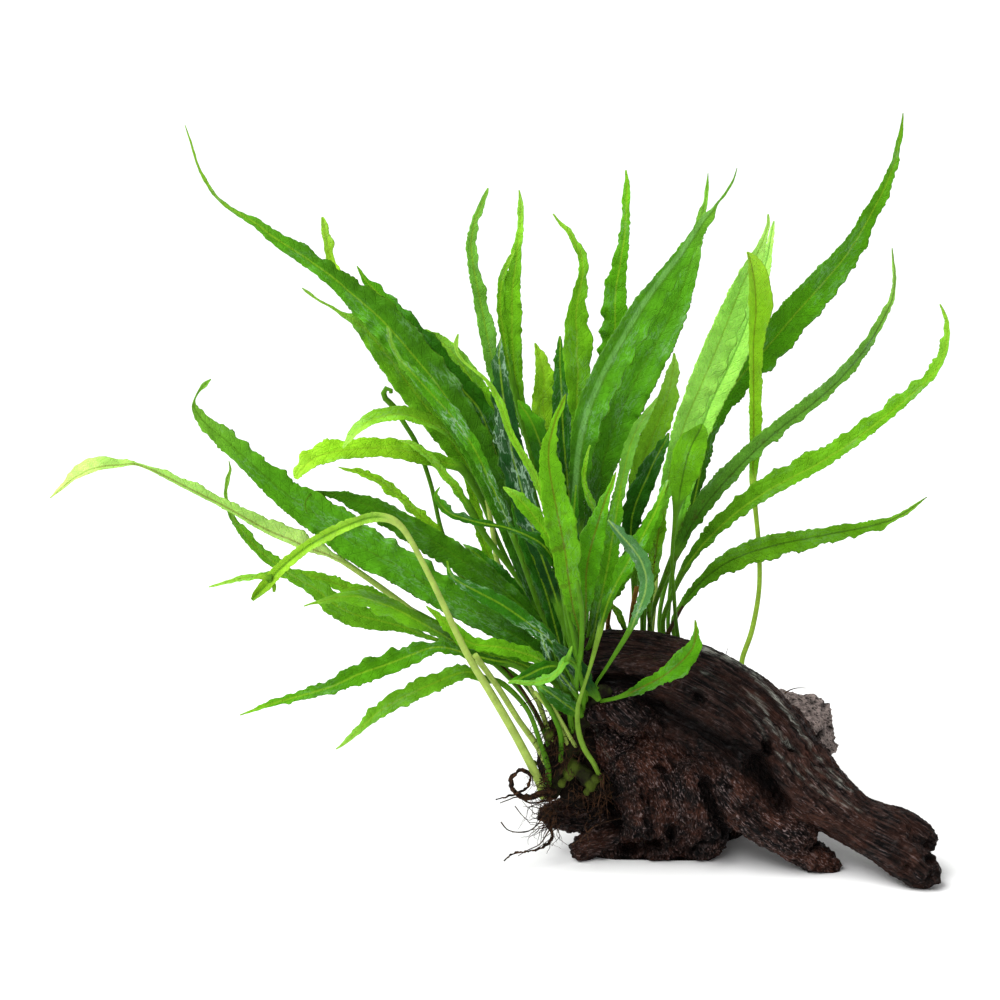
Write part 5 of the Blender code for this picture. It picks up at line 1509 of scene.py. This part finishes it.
        height += worn * (1.1 * self.noise.layered(places / self.chip_size, 2) + 0.3 * crumbs - 0.2)
        grounded = ease(places[:, 2] / (1.5 * MM))
        moved = places + facing * (height * grounded * MM)[:, None]
        moved[:, 2] = np.maximum(moved[:, 2], 0.0)
        move_to(body.data, moved)
        write_values(body.data, "grain", grain_rows)
        # Relief that the finish paints as shade in the valleys and as glints on the ridges.
        write_values(body.data, "relief_shading", np.clip(relief_shading, 0.0, 1.0))
        write_values(body.data, "raw", raw)
        write_values(body.data, "bare", bare)
        towards = ease(facing @ -VIEW.axes()[2] * 3.0 + 0.3)
        # Painted reflection on the sides that face the view.
        write_values(body.data, "painted_sheen", self.painted_sheen(places, spots) * towards)
        away = ease(facing @ VIEW.axes()[2] * 3.0 + 0.3)
        # Painted shade in the cut crevices and holes, on the front and on the back.
        crevice_shade = self.crevice_shade(spots, False) * towards + self.crevice_shade(spots, True) * away
        write_values(body.data, "crevice_shade", crevice_shade)
        # Painted light and shade from the discs, on the sides that face the view.
        gains = [(row[3] - 1.0) * np.exp(-np.sum((spots - row[:2]) ** 2, axis=1) / row[2] ** 2)
                 for row in LIT]
        write_values(body.data, "light", 1.0 + np.sum(gains, axis=0) * towards)

    def seen_near(self, spots: Rows, stroke: Rows) -> Rows:
        """Distance from a stroke of the view to seen spots, in view pixels."""
        best = np.full(len(spots), np.inf)
        for first, second in zip(stroke[:-1], stroke[1:]):
            run = second - first
            share = np.clip((spots - first) @ run / run.dot(run), 0.0, 1.0)
            best = np.minimum(best, np.linalg.norm(spots - first - share[:, None] * run, axis=1))
        return best

    def painted_sheen(self, places: Rows, spots: Rows) -> Rows:
        """Painted highlights: wet grey lines along the arch."""
        total = np.zeros(len(places))
        for strength, width, stroke in PAINTED_SHEEN_LINES:
            total = np.maximum(total, strength * ease((width - self.seen_near(spots, stroke)) / 3.0 + 0.5))
        return np.clip(total * (0.66 + 0.9 * self.noise.at(places / (3.0 * MM))), 0.0, 1.0)

    def crevice_shade(self, spots: Rows, behind: bool) -> Rows:
        """Painted shade: how far each spot lies in a cut crevice or hole of the front or of the back, which
        the finish paints dark.
        """
        total = np.zeros(len(spots))
        for chisel in (chisel for chisel in CHISELS if chisel.behind == behind):
            width = chisel.width * MM / VIEW.pixel
            share = 1.0 - (self.seen_near(spots, chisel.stroke) / width) ** 2
            dark = np.clip(chisel.depth / self.full_shade_depth, 0.0, 1.0)
            total = np.maximum(total, np.clip(share, 0.0, 1.0) * dark)
        return total

    def blunt(self, body: bpy.types.Object) -> None:
        """Push the crown's left end back to a flat, broken face."""
        places = coordinates(body.data)
        spots = VIEW.seen(places)
        face = self.broken_face + 3.0 * self.noise.at(places / (6.0 * MM))
        above = ease((self.face_foot - spots[:, 1]) / 10.0)
        places[:, 0] += np.maximum(face - spots[:, 0], 0.0) * above * VIEW.pixel
        move_to(body.data, places)

    def build(self) -> bpy.types.Object:
        """Model the wood."""
        body = self.fuse()
        self.blunt(body)
        self.carve(body)
        apply_modifier(body, "REMESH", mode="VOXEL", voxel_size=self.fine_voxel)
        apply_modifier(body, "SMOOTH", factor=0.4, iterations=1)
        self.stand(body)
        self.roughen(body)
        cover(body, self.finish)
        return body


# Rhizomes and roots


class Rhizomes:
    """Creeping stems: knobbly, scaly and green where they are fresh."""

    pieces = {"rhizome_left": ("left", "left_low"), "rhizome_middle": ("middle",), "rhizome_back": ("back",)}
    knobs = rows_of("""
        569 773 -5 2.2, 574 766 -5 1.9, 562 783 -5 1.5, 596 780 -5 1.5, 592 786 -5 1.9, 587 793 -5 1.3,
        549 735 -6 1.6, 534 764 -6 1.2""")
    radius = 3.0
    voxel = 0.45 * MM
    stations = 90
    around = 28

    def __init__(self, finish: bpy.types.Material) -> None:
        """Keep the finish."""
        self.finish = finish
        self.noise = Grain(5)

    def stem(self, name: str) -> bpy.types.Object:
        """One knobbly stem."""
        route = route_of(STEMS[name])
        shares = np.linspace(0.0, 1.0, self.stations)
        inwards = np.minimum(np.minimum(shares, 1.0 - shares) * route.length / (self.radius * MM), 1.0)
        dome = np.sqrt(np.maximum(1.0 - (1.0 - inwards) ** 2, 0.16))
        travelled = shares * route.length
        knobs = 0.92 + 0.12 * np.sin(travelled / (1.1 * MM)) * np.sin(travelled / (2.9 * MM))
        return tube("stem_" + name, route.at(shares)[:, :3], self.radius * MM * dome * knobs, self.around)

    def knob(self, row: Rows) -> bpy.types.Object:
        """One fresh bud: where it is seen, how far back it lies and its radius in millimetres."""
        deselect_all()
        bpy.ops.mesh.primitive_uv_sphere_add(segments=16, ring_count=10, radius=row[3] * MM)
        bud = bpy.context.object
        move_to(bud.data, coordinates(bud.data) * (1.0, 1.0, 1.25) + VIEW.place(row[:3]))
        return bud

    def fresh(self, places: Rows) -> Rows:
        """How green each place is: the buds, and streaks of the stem."""
        gaps = [np.linalg.norm(places - centre, axis=1) / (radius * MM)
                for centre, radius in zip(VIEW.place(self.knobs[:, :3]), self.knobs[:, 3])]
        streaks = 0.5 + self.noise.at(places / (3.5 * MM))
        return np.clip(ease(2.2 - 1.5 * np.min(gaps, axis=0)) * 0.9 + 0.2 * ease(streaks - 0.3), 0.0, 1.0)

    def build(self) -> None:
        """Model the rhizomes."""
        for node, stems in self.pieces.items():
            made = [self.stem(name) for name in stems]
            if node == "rhizome_left":
                made += [self.knob(row) for row in self.knobs]
            piece = joined(made, "creeping_" + node)
            apply_modifier(piece, "REMESH", mode="VOXEL", voxel_size=self.voxel)
            places = coordinates(piece.data)
            small = self.noise.layered(places / (2.4 * MM), 2) * 0.45
            bumps = (small + self.noise.at(places / (6.0 * MM)) * 0.7) * MM
            move_to(piece.data, places + normals(piece.data) * bumps[:, None])
            write_values(piece.data, "fresh", self.fresh(places))
            cover(piece, self.finish)
            settle(piece, [node])


@dataclass(frozen=True)
class RootPatch:
    """A tuft of fine roots: where they start, where they tend to, how many and how long they are."""

    start: str
    heading: tuple[float, float, float]
    count: int
    length: float
    thick: float


THICK_ROOTS: dict[str, tuple[float, str]] = {
    "roots_upper": (1.2, """
    556 790 -4, 541 793 -7, 527 797 -9, 514 791 -10, 512 778 -10, 522 770 -10, 530 778 -9, 526 789 -12,
    512 795 -13, 496 800 -14"""),
    "roots_lower": (0.8, """
    552 808 -1, 549 822 -4, 552 838 -5, 541 848 -7, 526 852 -8, 514 853 -9, 504 861 -9"""),
}

ROOT_PATCHES: tuple[RootPatch, ...] = (
    RootPatch("546 802 -2, 554 814 -2, 552 830 -3", (-0.9, -0.3, -0.5), 44, 15.0, 0.26),
    RootPatch("552 770 -6, 546 785 -7, 552 798 -6", (-0.8, -0.3, -0.2), 46, 10.0, 0.22),
    RootPatch("600 772 -4, 604 780 -4, 608 790 -4", (0.0, -0.2, -1.0), 26, 13.0, 0.22),
    RootPatch("552 708 -6, 560 740 -7, 566 772 -8", (-0.3, -0.2, -0.9), 110, 8.0, 0.18),
    RootPatch("562 700 -6, 572 722 -6, 582 756 -6", (0.1, -0.2, -0.9), 90, 7.0, 0.18),
    RootPatch("574 786 -5, 590 796 -4, 604 806 -3", (-0.1, -0.2, -0.9), 60, 8.0, 0.18),
    RootPatch("546 796 -4, 566 804 -4, 590 812 -3", (-0.2, -0.3, -0.8), 34, 7.0, 0.18),
    RootPatch("540 716 -6, 544 745 -6, 546 780 -6", (-0.5, -0.2, -0.8), 60, 6.0, 0.18),
    RootPatch("576 708 12, 570 745 14, 574 792 15", (-0.2, 0.5, -0.9), 120, 11.0, 0.20),
    RootPatch("600 716 20, 590 750 20, 592 790 20", (0.1, 0.5, -0.9), 60, 10.0, 0.20),
    RootPatch("616 652 55, 660 654 57, 720 672 54", (0.2, 0.4, -0.9), 70, 9.0, 0.18),
    RootPatch("562 668 27, 572 648 42, 584 646 49", (-0.1, 0.4, -0.9), 60, 8.0, 0.18),
)

ROOT_MAT: tuple[str, ...] = (
    "584 702 6 3.6, 572 725 5 4.6, 569 755 4 4.8, 568 783 4 4.2, 582 806 8 2.8",
    "564 712 5 2.6, 554 740 3 3.6, 550 770 2 4.2, 556 796 4 2.6",
    "592 716 12 4.0, 584 744 13 4.4, 586 776 14 4.2, 600 804 15 3.6",
    "582 728 3 3.0, 587 750 2 3.6, 594 772 3 4.4, 606 794 4 4.4",
)

HAIRS: tuple[tuple[float, str], ...] = (
    (0.20, "727 659 20, 726 654 19, 728 648 19"),
    (0.26, "785 693 30, 790 690 29, 797 688 28, 806 688 28"),
    (0.20, "520 706 -12, 528 702 -13, 537 698 -13, 545 698 -12"),
    (0.24, "585 826 -12, 588 838 -13, 588 850 -13, 587 858 -12"),
    (0.22, "580 842 -12, 592 828 -13, 606 822 -13, 622 818 -12"),
    (0.20, "572 845 -10, 582 838 -12, 592 830 -13"),
    (0.30, "604 772 -8, 603 786 -9, 606 800 -9, 608 819 -9"),
    (0.30, "600 774 -8, 601 792 -9, 598 806 -9, 603 817 -9"),
    (0.26, "515 806 -8, 521 814 -9, 530 823 -8"),
    (0.26, "501 822 -10, 508 830 -10, 520 832 -9, 536 829 -8"),
    (0.26, "504 861 -10, 513 854 -10, 534 850 -9, 550 839 -8"),
    (0.50, """
    554 794 -6, 540 796 -8, 526 800 -10, 516 795 -11, 511 786 -11, 514 775 -11, 524 768 -11, 532 776 -10,
    533 784 -10"""),
    (0.46, "556 798 -5, 545 801 -8, 530 803 -9, 518 797 -10, 508 800 -11, 500 803 -12"),
    (0.40, "556 806 -4, 545 815 -6, 536 826 -7, 526 832 -8, 512 832 -9"),
    (0.40, "556 820 -4, 548 832 -6, 540 844 -7, 528 850 -8, 518 856 -9"),
)


class Roots:
    """The thicker roots that stand off the wood, and the mat of fine ones round the rhizome."""

    thick_rings = 70
    felt_rings = 40
    felt_voxel = 0.6 * MM
    hair_rings = 14
    fine_rings = 12
    scatter = 1.4
    spread = 0.45
    wander = 0.33
    sag = (0.0, 0.0, -0.05)
    clearance = 0.4 * MM

    def __init__(self, finish: bpy.types.Material, felt: bpy.types.Material) -> None:
        """Keep the finishes of the roots and of their dark felt."""
        self.finish = finish
        self.felt = felt
        self.noise = Grain(77)

    def fibres(self, name: str, routes: list[Rows]) -> bpy.types.Object:
        """Fine round fibres as one mesh.

        Args:
            name: The piece's name.
            routes: For each fibre, rows of a place and a radius in metres.

        Returns:
            One closed mesh for all of them.
        """
        deselect_all()
        bpy.ops.curve.primitive_bezier_curve_add()
        bundle = bpy.context.object
        bundle.name = bundle.data.name = name
        shape = bundle.data
        shape.splines.clear()
        shape.dimensions = "3D"
        shape.bevel_depth = 1.0
        shape.bevel_resolution = 0
        shape.use_fill_caps = True
        for rows in routes:
            spline = shape.splines.new("POLY")
            spline.points.add(len(rows) - 1)
            spline.points.foreach_set("co", np.hstack((rows[:, :3], np.ones((len(rows), 1)))).ravel())
            spline.points.foreach_set("radius", rows[:, 3])
        bpy.ops.object.convert(target="MESH")
        piece = bpy.context.object
        cover(piece, self.finish)
        return piece

    def thick(self) -> None:
        """The two strong roots that the frame has."""
        for node, (radius, text) in THICK_ROOTS.items():
            shares = np.linspace(0.0, 1.0, self.thick_rings)
            line = route_of(text).at(shares)
            wobble = np.stack([self.noise.along(shares * 26.0, lane) for lane in (1.0, 2.0, 3.0)], axis=1)
            radii = radius * MM * (1.0 - 0.72 * shares) * (0.9 + 0.5 * self.noise.along(shares * 50.0, 8.0))
            piece = tube("wiry_" + node, line + wobble * 0.5 * MM, radii, 10)
            piece.data.materials.append(self.finish)
            settle(piece, [node])

    def mat(self) -> None:
        """The dark felt of roots between the rhizome and the wood."""
        made = []
        for number, text in enumerate(ROOT_MAT):
            line = route_of(text).at(np.linspace(0.0, 1.0, self.felt_rings))
            ring = np.arange(self.felt_rings)
            dome = np.sqrt(np.minimum(1.0, np.minimum(ring, ring[::-1]) / 5.0 + 0.15))
            made.append(tube(f"felt_{number}", line[:, :3], line[:, 3] * dome, 20))
        felt = joined(made, "root_felt")
        apply_modifier(felt, "REMESH", mode="VOXEL", voxel_size=self.felt_voxel)
        places = coordinates(felt.data)
        strings = self.noise.layered(places / (np.array((1.6, 1.6, 5.0)) * MM), 2)
        lumps = self.noise.layered(places / (6.0 * MM), 2)
        move_to(felt.data, places + normals(felt.data) * ((strings * 1.1 + lumps * 1.5) * MM)[:, None])
        cover(felt, self.felt)
        settle(felt, [])

    def fine(self) -> None:
        """The tufts of fine roots."""
        draw = np.random.default_rng(41)
        routes = []
        for thick, text in HAIRS:
            shares = np.linspace(0.0, 1.0, self.hair_rings)
            line = route_of(text).at(shares)
            routes.append(np.hstack((line, (thick * MM * (1.0 - 0.6 * shares))[:, None])))
        for patch in ROOT_PATCHES:
            starts = VIEW.place(rows_of(patch.start))
            for _ in range(patch.count):
                share = draw.random() * (len(starts) - 1)
                low = int(share)
                start = starts[low] + (starts[low + 1] - starts[low]) * (share - low)
                start = start + draw.normal(size=3) * self.scatter * MM
                heading = unit(np.array(patch.heading) + draw.normal(size=3) * self.spread)
                count = self.fine_rings
                stride = patch.length * (0.45 + 0.75 * draw.random()) * MM / count
                thick = patch.thick * (0.5 + 0.6 * draw.random()) * MM
                place = start
                rows = []
                for step in range(count):
                    rows.append((*place, thick * (1.0 - 0.8 * step / count)))
                    heading = unit(heading + draw.normal(size=3) * self.wander + np.array(self.sag))
                    place = place + heading * stride
                    place[2] = max(place[2], self.clearance)
                routes.append(np.array(rows))
        settle(self.fibres("fine_roots", routes), [])

    def build(self) -> None:
        """Model the roots."""
        self.thick()
        self.mat()
        self.fine()


# Stage


class Studio:
    """Pale floor, white surroundings and soft light."""

    target = (0.0, 0.0, 0.1)
    floor_side = 80.0
    floor_colour = (0.94, 0.94, 0.94, 1.0)
    white = (1.0, 1.0, 1.0, 1.0)
    surroundings = 0.48
    lamps = (
        ("light_sky", "SUN", (-0.6, -0.4, 1.2), 3.0, math.radians(40.0)),
        ("light_front", "AREA", (-0.35, -1.0, 0.85), 5.0, 0.4),
        ("light_left", "AREA", (-0.9, 0.1, 0.6), 3.0, 0.35),
    )

    def floor(self) -> None:
        """Lay a wide pale floor."""
        deselect_all()
        bpy.ops.mesh.primitive_plane_add(size=self.floor_side, location=(0.0, 0.0, 0.0))
        floor = bpy.context.object
        floor.name = "floor"
        finish = Sheet("finish_floor").finish(
            Base_Color=self.floor_colour, Roughness=1.0, Specular_IOR_Level=0.0)
        floor.data.materials.append(finish)

    def lamp(self, name: str, kind: str, place: tuple, power: float, size: float) -> None:
        """Hang one soft light that looks at the plant.

        Args:
            name: Its name.
            kind: AREA or SUN.
            place: Where it hangs, in metres.
            power: Watts of an area light, or the strength of a sun.
            size: Side of an area light in metres, or the angle of a sun in radians.
        """
        direction = Vector(self.target) - Vector(place)
        turn = direction.to_track_quat("-Z", "Y").to_euler()
        bpy.ops.object.light_add(type=kind, location=place, rotation=turn)
        lamp = bpy.context.object
        lamp.name = name
        lamp.data.energy = power
        setattr(lamp.data, "angle" if kind == "SUN" else "size", size)

    def build(self) -> None:
        """Set the stage."""
        self.floor()
        for lamp in self.lamps:
            self.lamp(*lamp)
        world = bpy.data.worlds.new("white_room")
        bpy.context.scene.world = world
        world.use_nodes = True
        background = world.node_tree.nodes["Background"]
        background.inputs["Color"].default_value = self.white
        background.inputs["Strength"].default_value = self.surroundings
        bpy.context.scene.view_settings.view_transform = "Standard"


def settle(piece: bpy.types.Object, nodes: list[str]) -> None:
    """Let a piece ride on the plant and hide the nodes that it stands for."""
    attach(piece, "root")
    if nodes:
        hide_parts(*nodes)
    LOG.info("%s: %d vertices", piece.name, len(piece.data.vertices))


def main() -> None:
    """Build the plant, its wood and the studio."""
    logging.basicConfig(level=logging.INFO, format="%(name)s %(message)s")
    VIEW.add_camera()
    Studio().build()
    wood = Driftwood(WoodFinish().material()).build()
    settle(wood, [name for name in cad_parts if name.startswith("driftwood")])
    Rhizomes(FibreFinish("finish_rhizome", (30, 32, 12), (20, 14, 9), 0.6, 420.0).material()).build()
    Roots(FibreFinish("finish_root", (20, 13, 9), (64, 42, 26), 0.6, 420.0).material(),
          FibreFinish("finish_felt", (12, 9, 7), (26, 18, 12), 0.8, 420.0).material()).build()
    leaf_finishes = (
        LeafFinish(Tone.PALE, 0.42, 0.04, 0.5, 0.06, 0.10),
        LeafFinish(Tone.BRIGHT, 0.42, 0.06, 0.9, 0.10, 0.05),
        LeafFinish(Tone.MID, 0.42, 0.08, 1.1, 0.10, 0.0),
        LeafFinish(Tone.DARK, 0.38, 0.12, 1.3, 0.16, 0.0),
        LeafFinish(Tone.WET, 0.34, 0.25, 1.6, 0.60, 0.0),
    )
    Foliage({finish.tone: finish.material() for finish in leaf_finishes}).grow()
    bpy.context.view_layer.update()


if __name__ == "__main__":
    main()
